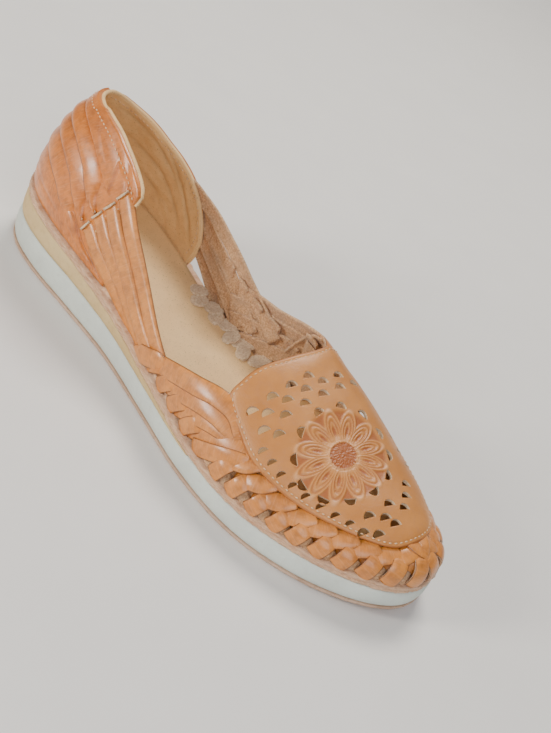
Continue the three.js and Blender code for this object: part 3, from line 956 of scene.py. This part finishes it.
def build_pleats():
    """The strips folded round the heel, each lapped over the one below and ending in a point."""
    bm = bmesh.new()
    for k in range(len(PLEATS) - 1):
        ends = []
        for side in (1, -1):
            front = PLEATS[k][1] + (2.0 if side > 0 else -1.0)
            ends.append(math.degrees(math.acos(1 - 2 * front / SOLE_LENGTH)))
        turns = np.linspace(ends[0], -ends[1], 41)
        rises, widths = [], []
        for turn in turns:
            y = wall(np.array([turn]), np.array([0.35]), np.array([WALL]))[0, 1]
            foot, top = board_top(y) + GAP, topline(y, turn)
            low, high = pleat_share(k, y), pleat_share(k + 1, y)
            end = np.clip((PLEATS[k][1] - y) / 12, 0, 1)
            middle = low + (high - low) * (0.18 + 0.4 * end)
            rises.append(rise_at(turn, foot + (top - foot) * middle))
            widths.append((high - low) * (top - foot) * 1.12 + 1.4)
        ribbon(bm, turns, rises, (3.1, 3.6, 3.7, 3.7, 3.7, 3.6, 3.1), widths, steps=150, columns=12, crown=0.75,
               tilt=1.3, taper=(0.04, 0.04), bow=0.25, point=0.085, lean_to=0.8)
    finish_piece(bm, "heel_pleats", [finish("oiled_quarter_leather"), finish("suede_flesh_side")],
                 thick=1.1)


def build_quarter():
    curves = quarter_curves()
    bm = bmesh.new()

    def outside(u, v):
        angle, rise = quarter_patch(u, v, *curves)
        base = wall(angle, rise, np.full(len(u), WALL))
        height, shade = quarter_relief(base, angle > 0)
        out = normal(angle, rise)
        rim = np.minimum(np.minimum(u, 1 - u) * 190, (1 - v) * 55)
        height = height * step(rim / 1.2) - 0.5 * (1 - step(rim / 1.2))
        return base + out * height[:, None], out, shade

    lay_grid(bm, 330, 110, outside, (190, 55))
    finish_piece(bm, "heel_quarter", [finish("oiled_quarter_leather"), finish("suede_flesh_side")],
                 thick=0.8)

    bm = bmesh.new()

    def inside(u, v):
        angle, rise = quarter_patch(u, v, *curves)
        points = wall(angle, rise, np.full(len(u), 0.85))
        out = normal(angle, rise)
        y, z = points[:, 1], points[:, 2]
        height = ripple(points, 9, 0.35, 31) + ripple(points, 3.2, 0.22, 32)
        deep = np.zeros(len(u))
        for cy, cz, lean, length, depth in LINING_FOLDS:
            run = (y - cy) * math.cos(lean) + (z - cz) * math.sin(lean)
            off = -(y - cy) * math.sin(lean) + (z - cz) * math.cos(lean)
            fold = np.exp(-((run / length) ** 2) - (off / 1.3) ** 2)
            height += depth * 0.5 * fold
            # Painted shade in each fold, passed to the lining's colour as the shade attribute.
            deep = np.maximum(deep, 0.6 * fold)
        return points + out * (height * step((1 - v) / 0.08))[:, None], out, deep

    lay_grid(bm, 240, 70, inside, (190, 55))
    finish_piece(bm, "quarter_lining", [finish("undyed_lining_leather")], thick=0.7)
    build_binding(curves)


def tube(bm, points, radius, sides=10):
    """A closed round cord of leather or thread along points, in mm."""
    points = np.asarray(points, float)
    places = spread(points)
    run = unit(np.gradient(points, axis=0))
    up = np.array([0.0, 0.0, 1.0])
    side = unit(np.cross(run, up))
    lift = np.cross(side, run)

    def shape(u, v):
        centre = np.stack([np.interp(u, places, points[:, i]) for i in range(3)], 1)
        a = np.stack([np.interp(u, places, side[:, i]) for i in range(3)], 1)
        b = np.stack([np.interp(u, places, lift[:, i]) for i in range(3)], 1)
        turn = 2 * math.pi * v
        end = np.sqrt(np.clip(1 - np.clip(1 - np.minimum(u, 1 - u) * 60, 0, 1) ** 2, 0.02, 1))
        across = (a * np.cos(turn)[:, None] + b * np.sin(turn)[:, None]) * (radius * end)[:, None]
        return centre + across, None, np.zeros(len(u))

    lay_grid(bm, len(points) - 1, sides, shape, (30, 2))


def build_binding(curves):
    """The rolled edge of the quarter, where the outside is turned over the lining."""
    top, left, right = curves
    bm = bmesh.new()
    rows = []
    for curve, places in ((left, np.linspace(0.04, 0.985, 60)), (top, np.linspace(0.01, 0.99, 220)),
                          (right, np.linspace(0.985, 0.04, 60))):
        angle, rise = curve.at(places)
        rows.append(wall(angle, rise, np.full(len(angle), 1.25)))
    path = np.concatenate(rows)
    for _ in range(6):
        path[1:-1] = (path[:-2] + path[1:-1] * 2 + path[2:]) / 4
    tube(bm, path, 0.95, 12)
    close_seams(bm)
    bmesh.ops.holes_fill(bm, edges=bm.edges[:], sides=0)
    bmesh.ops.recalc_face_normals(bm, faces=bm.faces[:])
    finish_piece(bm, "quarter_binding", [finish("undyed_lining_leather")])


def stitch(bm, place, run, out, length, width):
    """One stitch: a small rounded bar lying on the leather."""
    made = bmesh.ops.create_icosphere(bm, subdivisions=1, radius=0.5)["verts"]
    run = Vector(run).normalized()
    out = Vector(out).normalized()
    aside = out.cross(run).normalized()
    out = run.cross(aside)
    turn = Matrix((run, aside, out)).transposed().to_4x4()
    size = Matrix.Diagonal((length, width, width * 0.8, 1.0))
    bmesh.ops.transform(bm, matrix=Matrix.Translation(Vector(placed(place))) @ turn @ size, verts=made)


def stitch_row(bm, points, outs):
    """Stitches along a row of points, in mm, at the sewing pitch."""
    s = sizes()
    points, outs = np.asarray(points, float), np.asarray(outs, float)
    steps = np.concatenate([[0], np.cumsum(np.linalg.norm(np.diff(points, axis=0), axis=1))])
    pitch = s.stitch_pitch / MM
    for place in np.arange(pitch / 2, steps[-1], pitch):
        here = np.array([np.interp(place, steps, points[:, i]) for i in range(3)])
        ahead = np.array([np.interp(min(place + 1, steps[-1]), steps, points[:, i]) for i in range(3)])
        behind = np.array([np.interp(max(place - 1, 0), steps, points[:, i]) for i in range(3)])
        out = np.array([np.interp(place, steps, outs[:, i]) for i in range(3)])
        stitch(bm, here, ahead - behind, out, s.stitch_length, s.thread_width)


def build_quarter_stitches():
    top, left, right = quarter_curves()
    bm = bmesh.new()
    for depth, lift, places in ((4.6, WALL + 1.6, np.linspace(0.01, 0.99, 260)),
                                (3.9, -0.02, np.linspace(0.02, 0.98, 260))):
        angle, rise = quarter_patch(places, np.full(len(places), 1 - depth / 55), top, left, right)
        stitch_row(bm, wall(angle, rise, np.full(len(angle), lift)), normal(angle, rise))
    for edge_place in (0.014, 0.986):
        v = np.linspace(0.12, 0.93, 80)
        angle, rise = quarter_patch(np.full(80, edge_place), v, top, left, right)
        stitch_row(bm, wall(angle, rise, np.full(80, WALL + 0.02)), normal(angle, rise))
        stitch_row(bm, wall(angle, rise, np.full(80, -0.02)), normal(angle, rise))
    for face in bm.faces:
        face.smooth = True
    finish_piece(bm, "quarter_stitches", [finish("waxed_thread")])


# ---------------------------------------------------------------- straps and braid


def side_ribbon(bm, side, rows, lift, width, **how):
    angle, rise = on_side(side, rows)
    ribbon(bm, angle, rise, lift, width, **how)


def build_straps():
    strip, flesh = finish("oiled_strip_leather"), finish("suede_flesh_side")
    thick = sizes().strip_thickness / MM
    for name, side, lines in (("lateral_straps", 1, LATERAL_STRAPS), ("medial_straps", -1, MEDIAL_STRAPS)):
        bm = bmesh.new()
        for line, sag in zip(lines, (0.0, 0.9, 1.9, 0.9) if side > 0 else (0.9, 0.3, 0.9, 0.3)):
            lift = (2.4, 3.5 + sag * 0.5, 3.1 + sag * 0.8, 2.8 + sag, 2.6 + sag, 1.8 + sag * 0.8)
            side_ribbon(bm, side, line, lift, STRAP_WIDTH, steps=48, columns=12, crown=1.2, tilt=-0.2, bow=0.35)
        finish_piece(bm, name, [strip, flesh], thick=thick)
    bm = bmesh.new()
    for side, lines in ((1, LATERAL_STRAPS), (-1, MEDIAL_STRAPS)):
        for line in lines:
            (y0, z0), (y1, z1) = line[0], line[1]
            run = np.array([y1 - y0, z1 - z0]) / math.hypot(y1 - y0, z1 - z0)
            cross = np.array([-run[1], run[0]]) * (1 if run[0] > 0 else -1)
            start = np.array([y0, z0])
            arc = [start + cross * a + run * (1.5 - 0.06 * a * a) for a in (-3.6, -2.0, 0, 2.0, 3.6)]
            side_ribbon(bm, side, arc, (3.2, 4.1, 4.4, 4.1, 3.2), 1.2, steps=16, columns=6, crown=0.5,
                        taper=(0.3, 0.3), tilt=0.0)
    finish_piece(bm, "slot_lips", [finish("raw_cut_leather")], thick=0.9)


def edge_run(side, start_y, pitch, first):
    """Turns round the toe at even distances along the edge, from the toe back to start_y."""
    turns = np.linspace(0, 110, 400)
    rows = edge(180 - side * turns) - outward(180 - side * turns) * (INSET + WALL)
    length = np.concatenate([[0], np.cumsum(np.linalg.norm(np.diff(rows, axis=0), axis=1))])
    reach = np.interp(-start_y, -rows[:, 1], length)
    places = np.arange(first, reach, pitch)
    return np.interp(places, length, turns), lambda place: np.interp(place, length, turns), places


def panel_rise(probe_angles):
    """Rise at which the panel's edge crosses each angle."""
    rim = panel_outline(360)
    found = []
    for angle in probe_angles:
        rises = np.linspace(0.05, 0.99, 120)
        points = wall(np.full(120, angle), rises, np.full(120, WALL))
        centre = np.array(FLOWER)
        arm = points[:, :2] - centre
        reach = np.interp(np.arctan2(arm[:, 1], arm[:, 0]), rim[0], rim[1], period=2 * math.pi)
        inside = np.linalg.norm(arm, axis=1) < reach
        found.append(rises[np.argmax(inside)] if inside.any() else 0.6)
    return np.array(found)


def panel_outline(count):
    """The panel's edge as direction from the flower's middle and distance, in mm."""
    rows = np.array(PANEL_EDGE)
    ring = np.concatenate([rows[-2:], rows, rows[:2]])
    places = np.arange(-2, len(rows) + 2)
    fine = np.linspace(0, len(rows), 900, endpoint=False)
    x, y = smooth(places, ring[:, 0], fine), smooth(places, ring[:, 1], fine)
    direction = np.arctan2(y - FLOWER[1], x - FLOWER[0])
    reach = np.hypot(x - FLOWER[0], y - FLOWER[1])
    order = np.argsort(direction)
    even = np.linspace(-math.pi, math.pi, count, endpoint=False)
    return even, np.interp(even, direction[order], reach[order], period=2 * math.pi)


def build_braid():
    strip, flesh = finish("oiled_strip_leather"), finish("suede_flesh_side")
    thick = sizes().strip_thickness / MM
    flats, knuckles, tucks = bmesh.new(), bmesh.new(), bmesh.new()
    picked = random.Random(5)
    for side, end in ((1, LATERAL_BRAID_END), (-1, MEDIAL_BRAID_END)):
        turns, turn_at, places = edge_run(side, end, BRAID_PITCH, 5.2)

        for place in places:
            jog = picked.uniform(-0.5, 0.5)
            top = float(panel_rise([180 - side * turn_at(max(place - 5, 0))])[0])
            # Flat run, from under the panel outward and back to the knuckle.
            marks = np.array([place - 12.4, place - 8.8, place - 4.4, place - 0.2, place + 3.2]) + jog
            rises = np.array([top + 0.07, top * 0.96, top * 0.77, top * 0.54, top * 0.32])
            angles = [180 - side * turn_at(m) if m >= 0 else 180 + side * turn_at(-m) for m in marks]
            ribbon(flats, angles, rises, (2.2, 2.9, 3.1, 2.4, 0.2), 7.8, steps=24, columns=10, crown=0.75,
                   tilt=1.1 * side, bow=0.35)
            # Knuckle, from under the next flat run, over its own and down to the sole's edge.
            marks = np.array([place - 4.6, place - 3.0, place - 1.2, place + 0.6]) + jog
            rises = np.array([top * 0.88, top * 0.62, top * 0.28, 0.0])
            angles = [180 - side * turn_at(m) if m >= 0 else 180 + side * turn_at(-m) for m in marks]
            ribbon(knuckles, angles, rises, (0.3, 3.3, 4.9, 5.0, 4.4), 7.6, steps=22, columns=8, crown=0.35,
                   tilt=0.15 * side, bow=0.3)
            # The tucked end of the strip below, flesh side out.
            marks = np.array([place + 3.6, place + 4.8, place + 5.8]) + jog
            rises = np.array([top * 0.34, top * 0.16, 0.0])
            ribbon(tucks, [180 - side * turn_at(m) for m in marks], rises, (1.6, 2.9, 3.4), 6.6, steps=10,
                   columns=6, crown=0.3)
    for side, fan, cross in ((1, LATERAL_FAN, LATERAL_CROSS), (-1, MEDIAL_FAN, MEDIAL_CROSS)):
        for k, line in enumerate(fan):
            side_ribbon(flats, side, line, (1.4, 2.7 + 0.5 * k, 3.2 + 0.5 * k, 3.0 + 0.3 * k, 2.2), 8.6, steps=36,
                        columns=8, crown=0.4, tilt=-0.6 * side, bow=0.3)
        for line in cross:
            side_ribbon(knuckles, side, line, (0.8, 3.4, 4.5, 4.5, 4.0), 7.6, steps=20, columns=8, crown=0.35, bow=0.3)
    leaf = ((138, 28.6), (133, 27.6), (127, 24.8), (121, 22), (116, 20.6))
    side_ribbon(knuckles, 1, leaf, (2.4, 4.6, 5.4, 5.2, 4.2), 9.0, steps=26, columns=8, crown=0.6, taper=(0.3, 0.25), bow=0.4)
    finish_piece(flats, "braid_flats", [strip, flesh], ["upper"], thick=thick)
    finish_piece(knuckles, "braid_knuckles", [strip, flesh], thick=thick)
    finish_piece(tucks, "braid_tucked_ends", [flesh, flesh], thick=thick * 0.8)


def build_scallops():
    """Rounded strip ends that show flesh side out on the edge of the insole, inner side."""
    bm = bmesh.new()
    picked = random.Random(8)
    for k, y in enumerate(np.arange(97, 166, 5.4)):
        turn = np.array([360 - math.degrees(math.acos(1 - 2 * (y + picked.uniform(-1.5, 1.5)) / SOLE_LENGTH))])
        rim = (edge(turn) - outward(turn) * (6.4 + (k % 2) * 3.4 + picked.uniform(-0.8, 1.4)))[0]
        made = bmesh.ops.create_cone(bm, cap_ends=True, segments=28, radius1=1, radius2=0.88, depth=1)["verts"]
        wide, long = picked.uniform(4.6, 7.0), picked.uniform(3.4, 4.8)
        for vert in made:
            bend = noise.noise(vert.co * 1.7 + Vector((k * 3.1, 0, 0)))
            vert.co = Vector((vert.co.x * (1 + 0.14 * bend), vert.co.y * (1 + 0.14 * bend), vert.co.z))
        size = Matrix.Diagonal((wide * MM, long * MM, 0.9 * MM, 1))
        spin = Matrix.Rotation(picked.uniform(-0.7, 0.7), 4, "Z") @ Matrix.Rotation(0.08, 4, "Y")
        place = Matrix.Translation(placed((rim[0], rim[1], board_top(rim[1]) + 2.8 + 0.2 * (k % 3))))
        bmesh.ops.transform(bm, matrix=place @ spin @ size, verts=made)
    bmesh.ops.recalc_face_normals(bm, faces=bm.faces[:])
    finish_piece(bm, "strip_ends_inside", [finish("raw_cut_leather")])


def build_backing():
    """Flesh-side strips that close the wall low down behind the braid."""
    bm = bmesh.new()

    def shape(u, v):
        angle = 96 + u * (262 - 96)
        waist = step((angle - 232) / 22)
        high = 0.19 + waist * 0.24
        points = wall(angle, v * high, 0.5 + 0.3 * np.sin(angle * 0.9))
        return points, normal(angle, v * high), np.zeros(len(u))

    lay_grid(bm, 240, 12, shape, (300, 12))
    finish_piece(bm, "strip_ends_behind", [finish("suede_flesh_side")], thick=0.8)


# ---------------------------------------------------------------- vamp panel


def surface_probe(lift):
    """A tree of the last grown by lift, to find points straight below a place."""
    turns, climbs = np.linspace(60, 300, 481), np.linspace(0, 1, 121)
    angle, rise = np.meshgrid(turns, climbs, indexing="ij")
    points = wall(angle.ravel(), rise.ravel(), np.full(angle.size, lift))
    rows = len(climbs)
    corners = [
        (i * rows + j, (i + 1) * rows + j, (i + 1) * rows + j + 1, i * rows + j + 1)
        for i in range(len(turns) - 1)
        for j in range(rows - 1)
    ]
    return BVHTree.FromPolygons([tuple(p) for p in points], corners)


def dropped(tree, x, y):
    """Where the surface lies under (x, y), and its direction out, in mm."""
    place, out, _, _ = tree.ray_cast(Vector((x, y, 150)), Vector((0, 0, -1)))
    if place is None:
        raise ValueError(f"nothing lies under {x:.1f}, {y:.1f}")
    if out.z < 0:
        out = -out
    return np.array(place), np.array(out)


def dots(points, size, seed):
    """Pressed pinhead pattern: a bump about every size mm."""
    return np.array([noise.voronoi(Vector((p[0], p[1], seed)) / size)[0][0] for p in points])


def flower_relief(x, y):
    """Height and shade of the pressed flower. Shade above 0 is dark, below 0 light: a painted highlight along the
    raised lines.
    """
    across = (x - FLOWER[0] - 1.6) / (0.93 * FLOWER_HALF[0])
    ahead = (y - FLOWER[1] - 0.6) / (0.93 * FLOWER_HALF[1])
    reach, turn = np.hypot(across, ahead), np.degrees(np.arctan2(ahead, across))
    scale = 20.0
    field = step((1.06 - reach) / 0.12)
    height, shade = -0.25 * field, 0.85 * field
    stipple = dots(np.stack([x, y], 1), 0.85, 3)
    nearest = np.mod(turn - FLOWER_PHASE, 360 / PETALS) - 180 / PETALS
    run, off = reach * np.cos(np.radians(nearest)), reach * np.sin(np.radians(nearest))
    for middle, long, wide, line, inner in ((0.6, 0.27, 0.108, 0.34, True), (0.57, 0.17, 0.052, 0.2, False),
                                            (0.64, 0.37, 0.165, 0.3, False)):
        around = np.hypot((run - middle) / long, off / wide)
        ridge = np.exp(-(((around - 1) * wide * scale / 0.42) ** 2)) * (reach > 0.3)
        if inner:
            height += np.where(around < 1, -0.14 + 0.22 * (stipple - 0.4), 0) * (reach > 0.3)
            shade += np.where(around < 1, 0.25, 0) * (reach > 0.3)
        height += line * 1.35 * ridge
        # Painted highlight along each raised line.
        shade -= 1.15 * ridge
    disc = step((0.33 - reach) / 0.03)
    height += disc * (0.35 + 0.25 * np.clip(1 - (reach / 0.33) ** 2, 0, 1) + 0.5 * (0.5 - stipple))
    shade += disc * (0.5 * stipple - 0.15)
    rim = np.exp(-(((reach - 0.335) * scale / 0.4) ** 2))
    height -= 0.25 * rim
    return height, np.clip(shade, -1, 1)


# Soft dents of the panel: middle x, y, half width across, half width along, depth.
PANEL_DENTS = ((6, 214, 20, 18, 1.6), (24, 184, 9, 7, 0.5), (-22, 180, 8, 8, 0.5),
               (-28, 222, 5, 14, 0.5), (2, 178, 12, 4, -0.4), (-8, 246, 12, 6, -0.4))


def hole_places():
    """Half-moon holes as x, y, direction of the bulge in degrees, chord and bulge in mm."""
    holes = []
    for y, first, last, count in HOLE_ROWS:
        for x in np.linspace(first, last, count):
            holes.append((x, y, -105.0, HOLE_CHORD, HOLE_BULGE))
    even, reach = panel_outline(720)
    for y in (196.4, 202.4, 208.4, 214.6, 221, 227.6, 233.8, 239.6):
        x = np.interp(y, [196, 210, 224, 237, 241], [34.8, 33.4, 28.6, 21.8, 19.2])
        holes.append((x, y, -108.0, 4.6, 2.2))
    for y in (200, 207, 214, 221, 228):
        holes.append((np.interp(y, [200, 214, 228], [-28.5, -30, -27.4]), y, -100.0, 4.6, 2.3))
    for k in range(PETALS):
        turn = math.radians(FLOWER_PHASE + k * 360 / PETALS)
        x = FLOWER[0] + FLOWER_HALF[0] * math.cos(turn)
        y = FLOWER[1] + FLOWER_HALF[1] * math.sin(turn)
        facing = math.degrees(math.atan2(math.sin(turn) * FLOWER_HALF[1], math.cos(turn) * FLOWER_HALF[0]))
        holes.append((x, y, facing, 5.6, 3.4))
    return holes


def half_moon():
    """A closed half disc one unit across its middle and one unit deep, used as a punch."""
    bm = bmesh.new()
    bmesh.ops.create_circle(bm, cap_ends=True, segments=20, radius=1.0)
    bmesh.ops.bisect_plane(bm, geom=bm.verts[:] + bm.edges[:] + bm.faces[:], plane_co=(0, 0.12, 0),
                           plane_no=(0, -1, 0), clear_outer=True)
    raised = bmesh.ops.extrude_face_region(bm, geom=bm.faces[:])["geom"]
    top = [part for part in raised if isinstance(part, bmesh.types.BMVert)]
    bmesh.ops.translate(bm, vec=(0, 0, 1), verts=top)
    bmesh.ops.recalc_face_normals(bm, faces=bm.faces[:])
    mesh = bpy.data.meshes.new("half_moon")
    bm.to_mesh(mesh)
    bm.free()
    return mesh


def cut_holes(piece, tree):
    """Cuts the half-moon holes through the panel."""
    punch = half_moon()
    bm = bmesh.new()
    for x, y, facing, chord, bulge in hole_places():
        place, out = dropped(tree, x, y)
        before = len(bm.verts)
        bm.from_mesh(punch)
        bm.verts.ensure_lookup_table()
        up = Vector(out)
        ahead = Vector((math.cos(math.radians(facing)), math.sin(math.radians(facing)), 0))
        aside = ahead.cross(up).normalized()
        ahead = up.cross(aside).normalized()
        turn = Matrix((aside, ahead, up)).transposed().to_4x4()
        size = Matrix.Diagonal((chord / 2 * MM, bulge * MM, 7 * MM, 1.0))
        shift = Matrix.Translation(Vector(placed(place)) - up * 4.6 * MM - ahead * bulge * 0.5 * MM)
        bmesh.ops.transform(bm, matrix=shift @ turn @ size, verts=bm.verts[before:])
    bmesh.ops.recalc_face_normals(bm, faces=bm.faces[:])
    mesh = bpy.data.meshes.new("cutters")
    bm.to_mesh(mesh)
    bm.free()
    bpy.data.meshes.remove(punch)
    mesh.materials.append(finish("raw_cut_leather"))
    cutters = bpy.data.objects.new("cutters", mesh)
    bpy.context.scene.collection.objects.link(cutters)
    cut = piece.modifiers.new("Holes", "BOOLEAN")
    cut.operation = "DIFFERENCE"
    cut.solver = "MANIFOLD"
    cut.material_mode = "TRANSFER"
    cut.object = cutters
    settled(piece)
    bpy.data.objects.remove(cutters)
    bpy.data.meshes.remove(mesh)


def settled(piece):
    """Makes the piece's modifiers part of its mesh."""
    bpy.context.view_layer.update()
    seen = piece.evaluated_get(bpy.context.evaluated_depsgraph_get())
    made = bpy.data.meshes.new_from_object(seen)
    old = piece.data
    piece.modifiers.clear()
    piece.data = made
    made.name = piece.name
    bpy.data.meshes.remove(old)


def build_panel():
    tree = surface_probe(PANEL_TOP)
    even, reach = panel_outline(720)
    bm = bmesh.new()

    def shape(u, v):
        direction = -math.pi + 2 * math.pi * u
        rim = np.interp(direction, even, reach, period=2 * math.pi)
        far = np.clip(v, 0, 1) ** 0.92
        x = FLOWER[0] + np.cos(direction) * rim * far
        y = FLOWER[1] + np.sin(direction) * rim * far
        found = [dropped(tree, a, b) for a, b in zip(x, y)]
        points, out = np.array([f[0] for f in found]), np.array([f[1] for f in found])
        height, shade = flower_relief(x, y)
        inset = rim * (1 - far)
        height -= 0.22 * np.exp(-(((inset - 1.7) / 0.4) ** 2))
        height -= 0.7 * np.clip(1 - inset / 6, 0, 1) ** 2
        height -= 0.4 * (1 - np.sqrt(np.clip(1 - (1 - np.clip(inset / 0.7, 0, 1)) ** 2, 0, 1)))
        shade = np.where(inset < 0.7, 0.5, shade)
        worn = step((-x - 14) / 8) * np.clip(1 - inset / 9, 0, 1)
        flecks = ripple(np.stack([x, y, y * 0], 1), 0.9, 1.0, 51)
        shade = shade - 1.3 * worn * (flecks > 0.12)
        for dx, dy, wide, long, deep in PANEL_DENTS:
            height -= deep * np.exp(-(((x - dx) / wide) ** 2) - ((y - dy) / long) ** 2)
        height += ripple(np.stack([x, y, y * 0], 1), 7, 0.12, 41)
        return points + out * height[:, None], out, shade

    lay_grid(bm, 360, 92, shape)
    close_seams(bm)
    piece = finish_piece(bm, "vamp_panel_tooled", [finish("tooled_saddle_leather"), finish("suede_flesh_side")],
                         ["vamp_panel"], thick=sizes().panel_thickness / MM)
    cut_holes(piece, tree)

    bm = bmesh.new()
    direction = np.linspace(-math.pi, math.pi, 500)
    rim = np.interp(direction, even, reach, period=2 * math.pi) - 1.7
    found = [
        dropped(tree, FLOWER[0] + r * math.cos(d), FLOWER[1] + r * math.sin(d)) for d, r in zip(direction, rim)
    ]
    points, outs = np.array([f[0] for f in found]), np.array([f[1] for f in found])
    stitch_row(bm, points - outs * 0.5, outs)
    for face in bm.faces:
        face.smooth = True
    finish_piece(bm, "panel_stitches", [finish("waxed_thread")])


# ---------------------------------------------------------------- stage


CAMERA_PLACE = (0.393117, 0.347461, 0.358071)
CAMERA_RIGHT = (-0.672725, 0.621725, 0.401122)
CAMERA_AHEAD = (-0.714230, -0.404137, -0.571444)
CAMERA_LENS = 62.44
LAMPS = (
    # name, place, aim, width, power, colour
    ("overhead_softbox", (-0.5, -0.2, 1.0), (0, 0.08, 0), 0.4, 11.5, "#FFF9F0"),
    ("side_softbox", (1.0, -0.4, 0.5), (0, 0.05, 0.03), 0.3, 10, "#FFF8EE"),
    ("front_fill", (0.65, 0.75, 0.75), (0, 0.05, 0), 0.8, 7, "#F8F8FF"),
)


def build_stage():
    bm = bmesh.new()
    half = sizes().floor_width / 2
    bmesh.ops.create_grid(bm, x_segments=8, y_segments=8, size=half)
    mesh = bpy.data.meshes.new("floor")
    bm.to_mesh(mesh)
    bm.free()
    mesh.materials.append(finish("paper_floor"))
    floor = bpy.data.objects.new("floor", mesh)
    bpy.context.scene.collection.objects.link(floor)
    for name, place, aim, width, power, colour in LAMPS:
        lamp = bpy.data.lights.new(name, "AREA")
        lamp.shape = "SQUARE"
        lamp.size = width
        lamp.energy = power
        lamp.color = linear(colour)[:3]
        holder = bpy.data.objects.new(name, lamp)
        holder.location = place
        holder.rotation_mode = "QUATERNION"
        holder.rotation_quaternion = (Vector(aim) - Vector(place)).to_track_quat("-Z", "Y")
        bpy.context.scene.collection.objects.link(holder)
    world = bpy.data.worlds.new("studio")
    world.use_nodes = True
    world.node_tree.nodes["Background"].inputs[0].default_value = linear("#EDF0F5")
    world.node_tree.nodes["Background"].inputs[1].default_value = 0.24
    bpy.context.scene.world = world
    right, ahead = Vector(CAMERA_RIGHT).normalized(), Vector(CAMERA_AHEAD).normalized()
    up = right.cross(ahead)
    camera = bpy.data.cameras.new("camera")
    camera.lens = CAMERA_LENS
    camera.sensor_width = 36
    camera.clip_start = 0.01
    holder = bpy.data.objects.new("camera", camera)
    holder.matrix_world = Matrix.Translation(CAMERA_PLACE) @ Matrix((right, up, -ahead)).transposed().to_4x4()
    bpy.context.scene.collection.objects.link(holder)
    bpy.context.scene.camera = holder


# ---------------------------------------------------------------- operators


class HUARACHE_OT_sole(bpy.types.Operator):
    """Outsole, midsole, wedge and leather board"""

    bl_idname = "huarache.sole"
    bl_label = "Sole"

    def execute(self, context):
        build_outsole()
        build_midsole()
        build_wedge()
        build_board()
        return {"FINISHED"}


class HUARACHE_OT_insole(bpy.types.Operator):
    """The smooth sock the foot stands on"""

    bl_idname = "huarache.insole"
    bl_label = "Insole"

    def execute(self, context):
        build_insole()
        return {"FINISHED"}


class HUARACHE_OT_quarter(bpy.types.Operator):
    """The pleated heel quarter with lining, binding and stitches"""

    bl_idname = "huarache.quarter"
    bl_label = "Quarter"

    def execute(self, context):
        build_quarter()
        build_pleats()
        build_quarter_stitches()
        return {"FINISHED"}


class HUARACHE_OT_straps(bpy.types.Operator):
    """Side straps and the lips of their slots"""

    bl_idname = "huarache.straps"
    bl_label = "Straps"

    def execute(self, context):
        build_straps()
        return {"FINISHED"}


class HUARACHE_OT_braid(bpy.types.Operator):
    """Woven strips round the vamp"""

    bl_idname = "huarache.braid"
    bl_label = "Braid"

    def execute(self, context):
        build_braid()
        build_backing()
        build_scallops()
        return {"FINISHED"}


class HUARACHE_OT_panel(bpy.types.Operator):
    """Tooled panel with flower, holes and stitches"""

    bl_idname = "huarache.panel"
    bl_label = "Vamp panel"

    def execute(self, context):
        build_panel()
        return {"FINISHED"}


class HUARACHE_OT_stage(bpy.types.Operator):
    """Floor, lights and camera"""

    bl_idname = "huarache.stage"
    bl_label = "Stage"

    def execute(self, context):
        build_stage()
        return {"FINISHED"}


OPERATORS = (
    HUARACHE_OT_sole,
    HUARACHE_OT_insole,
    HUARACHE_OT_quarter,
    HUARACHE_OT_straps,
    HUARACHE_OT_braid,
    HUARACHE_OT_panel,
    HUARACHE_OT_stage,
)


class HUARACHE_PT_pieces(bpy.types.Panel):
    """Lists the pieces of the shoe"""

    bl_label = "Huarache"
    bl_idname = "HUARACHE_PT_pieces"
    bl_space_type = "VIEW_3D"
    bl_region_type = "UI"
    bl_category = "Huarache"

    def draw(self, context):
        for kind in OPERATORS:
            self.layout.operator(kind.bl_idname)
        for group in (context.scene.huarache_sizes, context.scene.huarache_colours):
            for name in group.__annotations__:
                self.layout.prop(group, name)


CLASSES = (HuaracheSizes, HuaracheColours, *OPERATORS, HUARACHE_PT_pieces)


def register():
    for kind in CLASSES:
        bpy.utils.register_class(kind)
    bpy.types.Scene.huarache_sizes = bpy.props.PointerProperty(type=HuaracheSizes)
    bpy.types.Scene.huarache_colours = bpy.props.PointerProperty(type=HuaracheColours)


def unregister():
    del bpy.types.Scene.huarache_sizes
    del bpy.types.Scene.huarache_colours
    for kind in reversed(CLASSES):
        bpy.utils.unregister_class(kind)


def main():
    register()
    bpy.ops.huarache.sole()
    bpy.ops.huarache.insole()
    bpy.ops.huarache.quarter()
    bpy.ops.huarache.straps()
    bpy.ops.huarache.braid()
    bpy.ops.huarache.panel()
    bpy.ops.huarache.stage()


if __name__ == "__main__":
    main()
